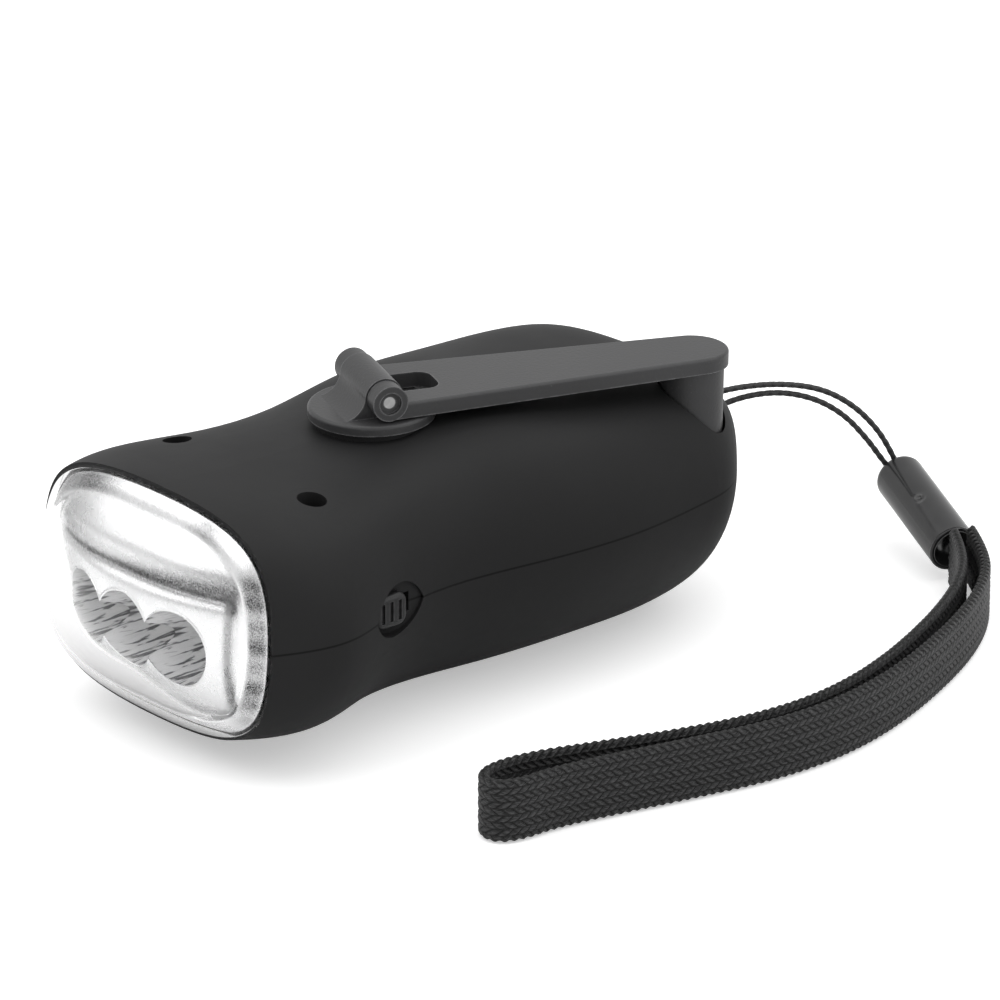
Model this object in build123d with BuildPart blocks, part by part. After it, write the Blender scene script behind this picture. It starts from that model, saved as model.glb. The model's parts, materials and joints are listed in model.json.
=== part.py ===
"""Hand crank flashlight with three LEDs, a folding crank and a wrist strap.

Millimetres. X is across the flashlight, with the switch on the +X side. The lens
faces -Y, the strap leaves at +Y and Z is up. The origin is on the surface that the
flashlight stands on, in the flat of its belly.
"""
import os
from math import acos, cos, pi, radians, sin, tan

from build123d import *

os.makedirs("parts", exist_ok=True)

# ---------------------------------------------------------------- driving sizes
# Housing: two shells that meet in a level parting plane.
body_length = 101.1  # front edge to tail
front_to_origin = 49.07  # front edge to the origin
tail_length = 19.6  # the part of it that rounds off to the tail
tail_roundness = 1.86
wall = 2.0
parting_height = 21.6
# Each station: distance behind the front edge, half width, top, bottom, and how
# square the section is above and below the parting plane (0.552 is an ellipse).
stations = [
    (-4.0, 23.8, 38.8, 5.2, 0.80, 0.80),
    (0.0, 25.2, 39.0, 4.4, 0.80, 0.80),
    (11.1, 28.3, 38.3, 1.8, 0.80, 0.68),
    (23.1, 24.6, 38.0, 0.7, 0.81, 0.60),
    (36.1, 23.1, 38.5, 0.2, 0.82, 0.574),
    (50.1, 25.0, 39.8, -0.3, 0.82, 0.574),
    (67.1, 26.3, 38.9, -0.4, 0.83, 0.574),
    (81.5, 24.5, 38.5, -0.4, 0.84, 0.574),
]
tail_steps = (0.31, 0.59, 0.79, 0.914, 0.978, 0.9985)  # shares of the tail's length

# Front: a clear cap over the reflector, leaning back a little at its top.
front_tilt = 2.8
front_center_height = 21.7
lens_half_width = 24.7
lens_half_height = 16.5
lens_squareness = 0.80
ellipse = 0.552  # the squareness of an ellipse
lens_rise = 2.3  # of the sloping border
lens_border = 3.0
lens_dome = 5.8  # of the dome within the border
dome_steps = (1.0, 0.87, 0.68, 0.45, 0.16)  # shares of the dome's width and height
lens_wall = 0.9
fit_gap = 0.15  # between a part and the opening that it sits in
reflector_depth = 8.0
reflector_wall = 1.0
reflector_inset = 3.6
reflector_draft = 3.0
led_spacing = 9.9
led_drop = 2.9  # LED row below the middle of the front
led_radius = 2.5
led_length = 7.5
led_dome = 2.25
cup_radius = 5.9  # at the dome's top
cup_floor_radius = 4.0
led_flange_radius = 2.9
led_flange_height = 1.0
led_board_thickness = 1.2
led_board_length = 34.0
led_board_width = 12.0
led_board_gap = 2.8  # between the reflector's back and the board
peg_x = 14.5
peg_radius = 1.5
board_corner = 1.5

# Crank: a disc on top, a folding arm and a free knob.
hub_behind_front = 39.6
disc_height = 39.3
disc_radius = 9.1
disc_thickness = 1.5
disc_gap = 0.15
disc_edge = 0.5
seat_radius = 8.3
hub_shaft_radius = 3.0
hub_overrun = 1.2  # of the shaft below the drive gear
hub_screw_radius = 4.2
hub_screw_height = 0.9
groove_cut = 0.5
clip_thickness = 0.8
clip_radius = 4.6
clip_mouth = 2.6
boss_gap = 0.2
clip_room = 1.4
running_gap = 0.05
hinge_height = 43.7
hinge_length = 16.4
knuckle_length = 10.8
knuckle_radius = 2.8
knuckle_gap = 0.2
foot_reach = 6.8
foot_back = 3.0
foot_sink = 0.3
foot_hollow = 0.8
ear_radius = 2.6
pin_radius = 0.85
pin_recess_radius = 1.6
pin_recess_depth = 0.6
crank_turn = 21.0  # degrees from straight back towards +X
arm_dip = 1.0
arm_length = 49.0
arm_top = -0.25  # below the hinge axis
arm_thickness = 2.3
arm_root_half_width = 8.0
arm_end_radius = 5.2
arm_slot_half_width = 3.3
arm_slot_end = 9.5
arm_slot_corner = 2.0
arm_edge = 0.45
arm_skin = 0.8  # over the knob's screw
fork_gap = 0.5
knob_radius = 4.6
knob_length = 15.6
knob_low_edge = 1.0
knob_high_edge = 0.3
knob_gap = 0.15
knob_screw_radius = 1.2
knob_screw_head_radius = 2.2
knob_screw_head_height = 1.0
knob_recess_depth = 1.6
pocket_gap = 0.4
pocket_floor_gap = 0.5
pocket_wall = 1.4

# Switch: a slide switch behind a leaf-shaped recess in the +X side.
switch_behind_front = 22.1
switch_travel = 2.5
recess_length = 11.2
recess_height = 7.8
recess_depth = 1.7
switch_seat_depth = 3.2
button_length = 6.0
button_height = 5.0
button_proud = 1.5
button_neck_height = 2.6
button_neck_length = 3.6
switch_size = (5.0, 7.2, 3.2)
lever_reach = 1.6
lever_width = 1.4
switch_inset = 1.5  # from the seat's back to the switch
button_corner = 1.6
button_crown = 0.8
groove_spacing = 1.5
groove_width = 0.6
groove_depth = 0.45

# Housing screws, in two posts near the front.
post_x = 14.7
post_behind_front = 16.1
post_radius = 3.4
screw_hole_radius = 2.1
screw_head_radius = 1.9
screw_head_height = 1.4
screw_radius = 1.1
post_joint_height = 24.4
post_shoulder_height = 18.8
post_neck_radius = 2.0
screw_reach = 9.5  # below the joint of the two posts
screw_tip_gap = 0.5
drive_length = 2.3  # cross recess in a screw's head
drive_width = 0.5

# Gear train: module, then teeth, heights and directions of each mesh.
gear_module = 0.6
pressure_angle = 25.0
addendum = 0.8
dedendum = 1.05
tooth_play = 0.09
drive_teeth = 40
first_wheel_teeth = 32
second_wheel_teeth = 30
pinion_teeth = 10
drive_gear_height = 28.6
gear_thickness = 2.2
gear_layer_gap = 0.7
first_mesh_angle = 115.0
second_mesh_angle = 50.0
third_mesh_angle = 98.6
axle_radius = 1.0
clutch_radius = 8.4
clutch_tooth = 0.5
clutch_depth = 1.3
clutch_teeth = 12
clutch_tooth_width = 0.9
clutch_ring_height = 1.0
clutch_ring_wall = 1.2
pawl_ring = 1.6
pawl_place = (4.6, 1.9)
pawl_size = (5.6, 1.1)
pawl_gap = 0.1
pinion_overlap = 0.2
frame_plate = 1.2
pillar_radius = 2.2
plate_margin = 1.0
plate_clearance = 0.6
gearbox_screw_radius = 0.9
gearbox_screw_head_radius = 1.8
gearbox_screw_head_height = 0.8
pillars = [(-13.5, -18.5), (14.5, -3.0), (13.0, 22.0), (-14.5, 17.5)]

# Generator.
magnet_radius = 6.5
magnet_height = 9.0
magnet_base = 8.5
rotor_shaft_radius = 0.9
rotor_shaft_base = 3.4
air_gap = 0.6
core_height = 7.0
core_limb = 3.4
core_bar_width = 4.0
coil_length = 10.0
coil_build = 2.4
bobbin_wall = 0.5
bobbin_flange = 1.0
bobbin_corner = 1.5
coil_corner = 2.0
flange_margin = 0.3
magnet_edge = 0.4
bar_back = 16.4  # core's cross bar, in front of the rotor
rest_back = 2.0
bearing_post_radius = 3.0
bearing_depth = 2.6

# Cells and boards.
cell_radius = 7.75
cell_length = 5.9
cell_count = 3
cell_behind_front = 29.4
cell_height = 10.9
tab_thickness = 0.3
tab_width = 6.0
tab_height = 11.0
tab_corner = 1.0
cell_seam = 0.2
board_thickness = 1.2
board_front = 13.4
board_back = 26.6
board_side = 17.8
capacitor_radius = 3.2
capacitor_height = 7.0
capacitor_edge = 0.4
capacitor_x = -3.0
chip_length = 5.0
chip_width = 4.0
chip_height = 1.4
chip_edge = 0.2
chip_x = 7.0

# Strap: a string loop, a ferrule and a loop of flat webbing.
recess_half_width = 3.5
lanyard_recess_depth = 5.6
lanyard_bar_radius = 0.9
lanyard_bar_to_tail = 2.7
lanyard_height = 22.8
string_diameter = 0.9
webbing_width = 9.4
webbing_thickness = 1.5
ferrule_top = (13.9, 82.0, 9.4)
ferrule_mouth = (33.0, 75.0, 5.1)
ferrule_radius = 3.7
ferrule_shoulder = 1.3
ferrule_rim = 0.3
ferrule_hole_depth = 3.0
ferrule_mouth_depth = 4.0
ferrule_wall = 0.7
corner_share = 0.45  # of the shorter run that each arc of a route takes

# ---------------------------------------------------------------- derived places
tilt = radians(front_tilt)
front_y = -front_to_origin
hub_y = front_y + hub_behind_front
switch_y = front_y + switch_behind_front
post_y = front_y + post_behind_front
cell_y = front_y + cell_behind_front
lanyard_y = front_y + body_length - lanyard_bar_to_tail

front_plane = Plane(
    origin=(0, front_y, front_center_height),
    x_dir=(1, 0, 0),
    z_dir=(0, -cos(tilt), sin(tilt)),
)

heading = radians(crank_turn)
dip = radians(arm_dip)
crank_plane = Plane(
    origin=(0, hub_y, hinge_height),
    x_dir=(sin(heading), cos(heading), 0),
    z_dir=(0, 0, 1),
)
arm_plane = Plane(
    origin=(0, hub_y, hinge_height),
    x_dir=(sin(heading) * cos(dip), cos(heading) * cos(dip), -sin(dip)),
    z_dir=(sin(heading) * sin(dip), cos(heading) * sin(dip), cos(dip)),
)
arm_bottom = arm_top - arm_thickness
knob_top = arm_bottom - knob_gap
knob_bottom = knob_top - knob_length
pocket_radius = knob_radius + pocket_gap
pocket_floor = knob_bottom - pocket_floor_gap


def section(plane, half_width, up, down, square_up, square_down):
    """Closed outline of four curves, rounder or squarer above and below its middle."""
    with BuildSketch(plane) as outline:
        with BuildLine():
            for side in (1, -1):
                for reach, square in ((up, square_up), (-down, square_down)):
                    Bezier(
                        (side * half_width, 0),
                        (side * half_width, square * reach),
                        (side * square * half_width, reach),
                        (0, reach),
                    )
        make_face()
    return outline.sketch


def cross_plane(behind_front):
    """Upright plane across the body, at a distance behind its front edge."""
    return Plane(
        origin=(0, front_y + behind_front, parting_height),
        x_dir=(1, 0, 0),
        z_dir=(0, -1, 0),
    )


def body_form(inset):
    """The housing's outer form, or the form that lies inset within it."""
    sections = []
    for behind, half_width, top, bottom, square_up, square_down in stations:
        sections.append(
            section(
                cross_plane(behind),
                half_width - inset,
                top - parting_height - inset,
                parting_height - bottom - inset,
                square_up,
                square_down,
            )
        )
    start, half_width, top, bottom, square_up, square_down = stations[-1]
    for step in tail_steps:
        share = (1 - step**tail_roundness) ** (1 / tail_roundness)
        sections.append(
            section(
                cross_plane(start + step * (tail_length - inset)),
                (half_width - inset) * share,
                (top - parting_height - inset) * share,
                (parting_height - bottom - inset) * share,
                square_up,
                square_down,
            )
        )
    with BuildPart() as form:
        loft(sections=sections)
    return form.part


def front_outline(inset, forward=0.0):
    """The lens's outline, smaller all round by inset, on or ahead of the front plane."""
    return section(
        front_plane.offset(forward),
        lens_half_width - inset,
        lens_half_height - inset,
        lens_half_height - inset,
        lens_squareness,
        lens_squareness,
    )


def level(height):
    """Level plane at a height."""
    return Plane.XY.offset(height)


def columns(places, radius, low, high):
    """Round columns between two heights, trimmed to the housing's outer form."""
    with BuildPart() as group:
        with BuildSketch(level(low)):
            with Locations(*places):
                Circle(radius)
        extrude(amount=high - low)
        add(outer_form, mode=Mode.INTERSECT)
    return group.part


both_posts = [(-post_x, post_y), (post_x, post_y)]
outer_form = body_form(0)
inner_form = body_form(wall)
knob_axis_plane = Plane(
    origin=arm_plane.from_local_coords((arm_length, 0, 0)),
    x_dir=arm_plane.x_dir,
    z_dir=arm_plane.z_dir,
)

# ---------------------------------------------------------------- gears
pitch = {
    teeth: gear_module * teeth / 2
    for teeth in (drive_teeth, first_wheel_teeth, second_wheel_teeth, pinion_teeth)
}
pinion_reach = pitch[pinion_teeth]


def beside(point, angle, distance):
    """The point at a distance from another, at an angle in plan."""
    return (
        point[0] + distance * cos(radians(angle)),
        point[1] + distance * sin(radians(angle)),
    )


hub_axis = (0, hub_y)
first_axis = beside(hub_axis, first_mesh_angle, pitch[drive_teeth] + pinion_reach)
second_axis = beside(first_axis, second_mesh_angle, pitch[first_wheel_teeth] + pinion_reach)
rotor_axis = beside(second_axis, third_mesh_angle, pitch[second_wheel_teeth] + pinion_reach)
first_wheel_height = drive_gear_height - gear_layer_gap - gear_thickness
second_wheel_height = first_wheel_height - gear_layer_gap - gear_thickness
cover_height = second_wheel_height - gear_layer_gap - frame_plate
cage_height = drive_gear_height + gear_thickness + clutch_depth
cage_top = cage_height + frame_plate


def involute(angle):
    """Involute function of a pressure angle in radians."""
    return tan(angle) - angle


def gear_profile(teeth, facing):
    """Spur gear outline with one tooth centred on the angle facing, in degrees."""
    pitch_radius = pitch[teeth]
    base_radius = pitch_radius * cos(radians(pressure_angle))
    tip_radius = pitch_radius + addendum * gear_module
    root_radius = pitch_radius - dedendum * gear_module
    half_tooth = pi / (2 * teeth) - tooth_play / (2 * pitch_radius)
    start_radius = max(base_radius, root_radius)

    def flank(radius, side):
        roll = involute(acos(min(1.0, base_radius / radius)))
        angle = side * (half_tooth + involute(radians(pressure_angle)) - roll)
        return (radius * cos(angle), radius * sin(angle))

    def root(side):
        along = flank(start_radius, side)
        share = (root_radius - gear_module / 2) / start_radius
        return (along[0] * share, along[1] * share)

    middle_radius = (start_radius + tip_radius) / 2
    with BuildSketch() as tooth:
        with BuildLine():
            for side in (1, -1):
                Line(root(side), flank(start_radius, side))
                ThreePointArc(*[flank(r, side) for r in (start_radius, middle_radius, tip_radius)])
            Line(flank(tip_radius, 1), flank(tip_radius, -1))
            Line(root(1), root(-1))
        make_face()
    with BuildSketch() as outline:
        Circle(root_radius)
        with PolarLocations(0, teeth, start_angle=facing):
            add(tooth.sketch)
    return outline.sketch


half_pitch_angle = 180 / pinion_teeth
drive_profile = gear_profile(drive_teeth, first_mesh_angle)
first_pinion = gear_profile(pinion_teeth, first_mesh_angle + 180 + half_pitch_angle)
first_wheel = gear_profile(first_wheel_teeth, second_mesh_angle)
second_pinion = gear_profile(pinion_teeth, second_mesh_angle + 180 + half_pitch_angle)
second_wheel = gear_profile(second_wheel_teeth, third_mesh_angle)
rotor_teeth = gear_profile(pinion_teeth, third_mesh_angle + 180 + half_pitch_angle)

# ---------------------------------------------------------------- upper housing
side_at_switch = stations[3][1]
seat_low_x = side_at_switch - recess_depth - switch_seat_depth
boss_radius = hub_shaft_radius + wall
boss_base = cage_top + clip_room
well_radius = pocket_radius + pocket_wall


def switch_seat():
    """Thick patch behind the switch recess, within the housing's form."""
    with BuildPart() as seat:
        with BuildSketch(level(parting_height)):
            with Locations((seat_low_x, switch_y + switch_travel / 2)):
                Rectangle(
                    2 * switch_seat_depth,
                    recess_length + 2 * wall,
                    align=(Align.MIN, Align.CENTER),
                )
        extrude(amount=recess_height / 2 + wall, both=True)
        add(outer_form, mode=Mode.INTERSECT)
    return seat.part


def switch_cut():
    """The leaf-shaped recess and the slot that the button's neck runs in."""
    side_plane = Plane(
        origin=(side_at_switch - recess_depth, switch_y + switch_travel / 2, parting_height),
        x_dir=(0, 1, 0),
        z_dir=(1, 0, 0),
    )
    half_length = recess_length / 2
    half_height = recess_height / 2
    with BuildPart() as cut:
        with BuildSketch(side_plane):
            with BuildLine():
                ThreePointArc((-half_length, 0), (0, half_height), (half_length, 0))
                ThreePointArc((-half_length, 0), (0, -half_height), (half_length, 0))
            make_face()
        extrude(amount=3 * recess_depth)
        with BuildSketch(side_plane):
            Rectangle(
                button_neck_length + switch_travel + 2 * fit_gap,
                button_neck_height + 2 * fit_gap,
            )
        extrude(amount=-2 * switch_seat_depth)
    return cut.part


def lanyard_cut():
    """Recess in the tail behind the bar that the string goes round."""
    with BuildPart() as cut:
        with BuildSketch(cross_plane(body_length + wall)):
            with Locations((0, lanyard_height - parting_height)):
                Rectangle(2 * recess_half_width, 2 * recess_half_width)
        extrude(amount=wall + lanyard_recess_depth)
    return cut.part


def lanyard_pocket():
    """Walls round the lanyard recess, within the housing's form."""
    with BuildPart() as pocket:
        with BuildSketch(cross_plane(body_length + wall)):
            with Locations((0, lanyard_height - parting_height)):
                Rectangle(
                    2 * (recess_half_width + pocket_wall),
                    2 * (recess_half_width + pocket_wall),
                )
        extrude(amount=wall + lanyard_recess_depth + pocket_wall)
        add(outer_form, mode=Mode.INTERSECT)
    return pocket.part


def knob_well():
    """Solid round the knob's pocket, within the housing's form."""
    with BuildPart() as well:
        with BuildSketch(knob_axis_plane.offset(pocket_floor - pocket_wall)):
            Circle(well_radius)
        extrude(amount=-pocket_floor)
        add(outer_form, mode=Mode.INTERSECT)
    return well.part


seat_solid = switch_seat()
switch_space = switch_cut()
lanyard_walls = lanyard_pocket()
lanyard_space = lanyard_cut()
well_solid = knob_well()

boss = columns([hub_axis], boss_radius, boss_base, disc_height)
roof = max(station[2] for station in stations)
upper_posts = columns(both_posts, post_radius, post_joint_height, roof)
ceiling_posts = columns(pillars, pillar_radius, cage_top, roof)
screw_seat_height = post_joint_height + wall

with BuildPart() as upper_housing:
    add(outer_form)
    add(inner_form, mode=Mode.SUBTRACT)
    for solid in (seat_solid, lanyard_walls, well_solid, boss, upper_posts, ceiling_posts):
        add(solid)
    with BuildSketch(level(disc_height - disc_gap)):
        with Locations(hub_axis):
            Circle(seat_radius)
    extrude(amount=-wall)
    with BuildSketch(level(disc_height - disc_gap)):
        with Locations(hub_axis):
            Circle(disc_radius + pocket_gap)
    extrude(amount=wall, mode=Mode.SUBTRACT)
    add(switch_space, mode=Mode.SUBTRACT)
    add(lanyard_space, mode=Mode.SUBTRACT)
    with BuildSketch(Plane.YZ.offset(-recess_half_width - pocket_wall)):
        with Locations((lanyard_y, lanyard_height)):
            Circle(lanyard_bar_radius)
    extrude(amount=2 * (recess_half_width + pocket_wall))
    with BuildSketch(knob_axis_plane.offset(pocket_floor)):
        Circle(pocket_radius)
    extrude(amount=-2 * pocket_floor, mode=Mode.SUBTRACT)
    with BuildSketch(level(boss_base)):
        with Locations(hub_axis):
            Circle(hub_shaft_radius + running_gap)
    extrude(amount=disc_height - boss_base, mode=Mode.SUBTRACT)
    with BuildSketch(level(screw_seat_height)):
        with Locations(*both_posts):
            Circle(screw_hole_radius)
    extrude(amount=roof - screw_seat_height + wall, mode=Mode.SUBTRACT)
    with BuildSketch(level(post_joint_height)):
        with Locations(*both_posts):
            Circle(screw_radius + running_gap)
    extrude(amount=wall, mode=Mode.SUBTRACT)
    with BuildSketch(level(cage_top)):
        with Locations(*pillars):
            Circle(gearbox_screw_radius)
    extrude(amount=wall, mode=Mode.SUBTRACT)
    split(bisect_by=level(parting_height), keep=Keep.TOP)
    split(bisect_by=front_plane, keep=Keep.BOTTOM)
upper_housing.part.label = "upper_housing"

# ---------------------------------------------------------------- lower housing
stack_half_length = cell_count * cell_length / 2 + tab_thickness
core_base = magnet_base + (magnet_height - core_height) / 2
bore_radius = magnet_radius + air_gap
limb_middle = bore_radius + core_limb / 2
core_rests = [
    (rotor_axis[0] + side * limb_middle, rotor_axis[1] - behind)
    for side in (-1, 1)
    for behind in (rest_back, bar_back)
]
lower_posts = columns(both_posts, post_radius, -wall, post_shoulder_height)
lower_necks = columns(both_posts, post_neck_radius, -wall, post_joint_height)
bearing_post = columns([rotor_axis], bearing_post_radius, -wall, rotor_shaft_base + bearing_depth)
rest_posts = columns(core_rests, core_limb / 2, -wall, core_base)


def cell_cradle():
    """Saddle with end walls under the stack of cells."""
    with BuildPart() as cradle:
        with BuildSketch(level(-wall)):
            with Locations((0, cell_y)):
                Rectangle(
                    2 * (stack_half_length + fit_gap + pocket_wall),
                    2 * (cell_radius + pocket_wall),
                )
        extrude(amount=cell_height + wall)
        add(outer_form, mode=Mode.INTERSECT)
    return cradle.part


cradle_solid = cell_cradle()

with BuildPart() as lower_housing:
    add(outer_form)
    add(inner_form, mode=Mode.SUBTRACT)
    add(seat_solid)
    add(lanyard_walls)
    split(bisect_by=level(parting_height), keep=Keep.BOTTOM)
    for solid in (lower_posts, lower_necks, bearing_post, rest_posts, cradle_solid):
        add(solid)
    with BuildSketch(Plane.YZ.offset(-stack_half_length - fit_gap)):
        with Locations((cell_y, cell_height)):
            Circle(cell_radius + fit_gap)
    extrude(amount=2 * (stack_half_length + fit_gap), mode=Mode.SUBTRACT)
    add(switch_space, mode=Mode.SUBTRACT)
    add(lanyard_space, mode=Mode.SUBTRACT)
    with BuildSketch(level(rotor_shaft_base)):
        with Locations(rotor_axis):
            Circle(rotor_shaft_radius + running_gap)
    extrude(amount=bearing_depth, mode=Mode.SUBTRACT)
    with BuildSketch(level(post_joint_height - screw_reach - screw_tip_gap)):
        with Locations(*both_posts):
            Circle(screw_radius)
    extrude(amount=screw_reach + screw_tip_gap, mode=Mode.SUBTRACT)
    split(bisect_by=front_plane, keep=Keep.BOTTOM)
    split(bisect_by=level(0), keep=Keep.TOP)
lower_housing.part.label = "lower_housing"

# ---------------------------------------------------------------- lens
def front_cap(inset):
    """Sloping border with a dome on it, all of it inset from the lens's outer form."""
    border = lens_border + inset
    rise = lens_rise - inset
    squareness = [ellipse + (lens_squareness - ellipse) * share for share in dome_steps]
    with BuildPart() as cap:
        loft(sections=[front_outline(inset), front_outline(border, rise)])
        loft(
            sections=[
                section(
                    front_plane.offset(rise + lens_dome * (1 - share**2)),
                    share * (lens_half_width - border),
                    share * (lens_half_height - border),
                    share * (lens_half_height - border),
                    square,
                    square,
                )
                for share, square in zip(dome_steps, squareness)
            ]
        )
    return cap.part


with BuildPart() as lens:
    add(front_cap(0))
    add(front_cap(lens_wall), mode=Mode.SUBTRACT)
lens.part.label = "lens"

# ---------------------------------------------------------------- reflector
led_places = [(place * led_spacing, -led_drop) for place in (-1, 0, 1)]
led_board_front = reflector_depth + led_board_gap
peg_places = [(side * peg_x, -led_drop) for side in (-1, 1)]
dome_top = lens_rise + lens_dome

with BuildPart() as reflector:
    add(front_cap(lens_wall + fit_gap))
    loft(
        sections=[
            front_outline(reflector_inset),
            front_outline(reflector_inset + reflector_draft, -reflector_depth),
        ]
    )
    for place in led_places:
        with BuildSketch(front_plane.offset(-reflector_depth + reflector_wall)):
            with Locations(place):
                Circle(cup_floor_radius)
        with BuildSketch(front_plane.offset(dome_top)):
            with Locations(place):
                Circle(cup_radius)
        loft(mode=Mode.SUBTRACT)
    with BuildSketch(front_plane.offset(-reflector_depth)):
        with Locations(*led_places):
            Circle(led_radius + running_gap)
    extrude(amount=reflector_wall, mode=Mode.SUBTRACT)
    with BuildSketch(front_plane.offset(-led_board_front)):
        with Locations(*peg_places):
            Circle(peg_radius)
    extrude(amount=led_board_front - reflector_depth)
reflector.part.label = "reflector"

# ---------------------------------------------------------------- LEDs and their board
leds = []
for name, place in zip(("led_left", "led_middle", "led_right"), led_places):
    with BuildPart() as led:
        with BuildSketch(front_plane.offset(-led_board_front)):
            with Locations(place):
                Circle(led_flange_radius)
        extrude(amount=led_flange_height)
        with BuildSketch(front_plane.offset(-led_board_front)):
            with Locations(place):
                Circle(led_radius)
        extrude(amount=led_length)
        tip = led.faces().sort_by(Axis.Y)[0].edges()
        fillet(tip, radius=led_dome)
    led.part.label = name
    leds.append(led)

with BuildPart() as led_board:
    with BuildSketch(front_plane.offset(-led_board_front - led_board_thickness)):
        with Locations((0, -led_drop)):
            RectangleRounded(led_board_length, led_board_width, board_corner)
    extrude(amount=led_board_thickness)
led_board.part.label = "led_board"

# ---------------------------------------------------------------- switch
side_x = side_at_switch - recess_depth  # floor of the recess
switch_x = seat_low_x - switch_inset  # outer face of the switch's body
board_top = post_shoulder_height + board_thickness

with BuildPart() as switch_button:
    with BuildSketch(Plane.YZ.offset(switch_x + fit_gap)):
        with Locations((switch_y, parting_height)):
            Rectangle(button_neck_length, button_neck_height)
    extrude(amount=side_x + button_proud / 2 - switch_x)
    with BuildSketch(Plane.YZ.offset(side_x + fit_gap)):
        with Locations((switch_y, parting_height)):
            RectangleRounded(button_length, button_height, button_corner)
    extrude(amount=button_proud)
    crown = switch_button.faces().sort_by(Axis.X)[-1]
    fillet(crown.edges(), radius=button_crown)
    with BuildSketch(Plane.YZ.offset(side_x + fit_gap + button_proud)):
        with GridLocations(groove_spacing, 0, 3, 1):
            with Locations((switch_y, parting_height)):
                Rectangle(groove_width, 0.6 * button_height)
    extrude(amount=-groove_depth, mode=Mode.SUBTRACT)
    with BuildSketch(Plane.YZ.offset(switch_x)):
        with Locations((switch_y, parting_height)):
            Rectangle(lever_width, lever_width)
    extrude(amount=lever_reach + fit_gap, mode=Mode.SUBTRACT)
switch_button.part.label = "switch_button"

with BuildPart() as switch_arm:
    with BuildSketch(Plane.YZ.offset(switch_x + running_gap)):
        with Locations((switch_y, parting_height)):
            Rectangle(lever_width, lever_width)
    extrude(amount=lever_reach)
switch_arm.part.label = "switch_lever"

with BuildPart() as slide_switch:
    with BuildSketch(level(board_top)):
        with Locations((switch_x, switch_y + switch_travel / 2)):
            Rectangle(switch_size[0], switch_size[1], align=(Align.MAX, Align.CENTER))
    extrude(amount=switch_size[2])
slide_switch.part.label = "slide_switch"

# ---------------------------------------------------------------- circuit board
with BuildPart() as circuit_board:
    with BuildSketch(level(post_shoulder_height)):
        with Locations((0, front_y + (board_front + board_back) / 2)):
            RectangleRounded(2 * board_side, board_back - board_front, board_corner)
        with Locations(*both_posts):
            Circle(post_neck_radius + fit_gap, mode=Mode.SUBTRACT)
    extrude(amount=board_thickness)
circuit_board.part.label = "circuit_board"

with BuildPart() as capacitor:
    with BuildSketch(level(board_top)):
        with Locations((capacitor_x, front_y + (board_front + board_back) / 2)):
            Circle(capacitor_radius)
    extrude(amount=capacitor_height)
    fillet(capacitor.edges().group_by(Axis.Z)[-1], radius=capacitor_edge)
capacitor.part.label = "capacitor"

with BuildPart() as charge_chip:
    with BuildSketch(level(board_top)):
        with Locations((chip_x, front_y + (board_front + board_back) / 2)):
            Rectangle(chip_length, chip_width)
    extrude(amount=chip_height)
    chamfer(charge_chip.edges().group_by(Axis.Z)[-1], length=chip_edge)
charge_chip.part.label = "charge_chip"

# ---------------------------------------------------------------- cells
with BuildPart() as battery_cells:
    for place in range(cell_count):
        start = -cell_count * cell_length / 2 + place * cell_length
        with BuildSketch(Plane.YZ.offset(start)):
            with Locations((cell_y, cell_height)):
                Circle(cell_radius)
        extrude(amount=cell_length - cell_seam)
battery_cells.part.label = "battery_cells"

with BuildPart() as battery_tabs:
    for start in (-stack_half_length, stack_half_length - tab_thickness - cell_seam):
        with BuildSketch(Plane.YZ.offset(start)):
            with Locations((cell_y, cell_height + 1)):
                RectangleRounded(tab_width, tab_height, tab_corner)
        extrude(amount=tab_thickness)
battery_tabs.part.label = "battery_tabs"

# ---------------------------------------------------------------- housing screws
with BuildPart() as housing_screws:
    with BuildSketch(level(screw_seat_height)):
        with Locations(*both_posts):
            Circle(screw_head_radius)
    extrude(amount=screw_head_height)
    with BuildSketch(level(post_joint_height - screw_reach)):
        with Locations(*both_posts):
            Circle(screw_radius)
    extrude(amount=screw_reach + wall)
    with BuildSketch(level(screw_seat_height + screw_head_height)):
        with Locations(*both_posts):
            Rectangle(drive_length, drive_width)
            Rectangle(drive_width, drive_length)
    extrude(amount=-drive_width, mode=Mode.SUBTRACT)
housing_screws.part.label = "housing_screws"

# ---------------------------------------------------------------- crank hub
disc_top = disc_height + disc_thickness
hub_low = drive_gear_height - hub_overrun
groove_height = boss_base - clip_thickness - boss_gap
groove_radius = hub_shaft_radius - groove_cut
foot = disc_top - hinge_height  # disc's top, seen from the hinge axis
foot_curve = (-(foot_reach + knuckle_radius) / 2 + foot_hollow, foot + foot_hollow)
across = Plane(
    origin=crank_plane.from_local_coords((0, knuckle_length / 2, 0)),
    x_dir=crank_plane.x_dir,
    z_dir=-crank_plane.y_dir,
)

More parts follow.
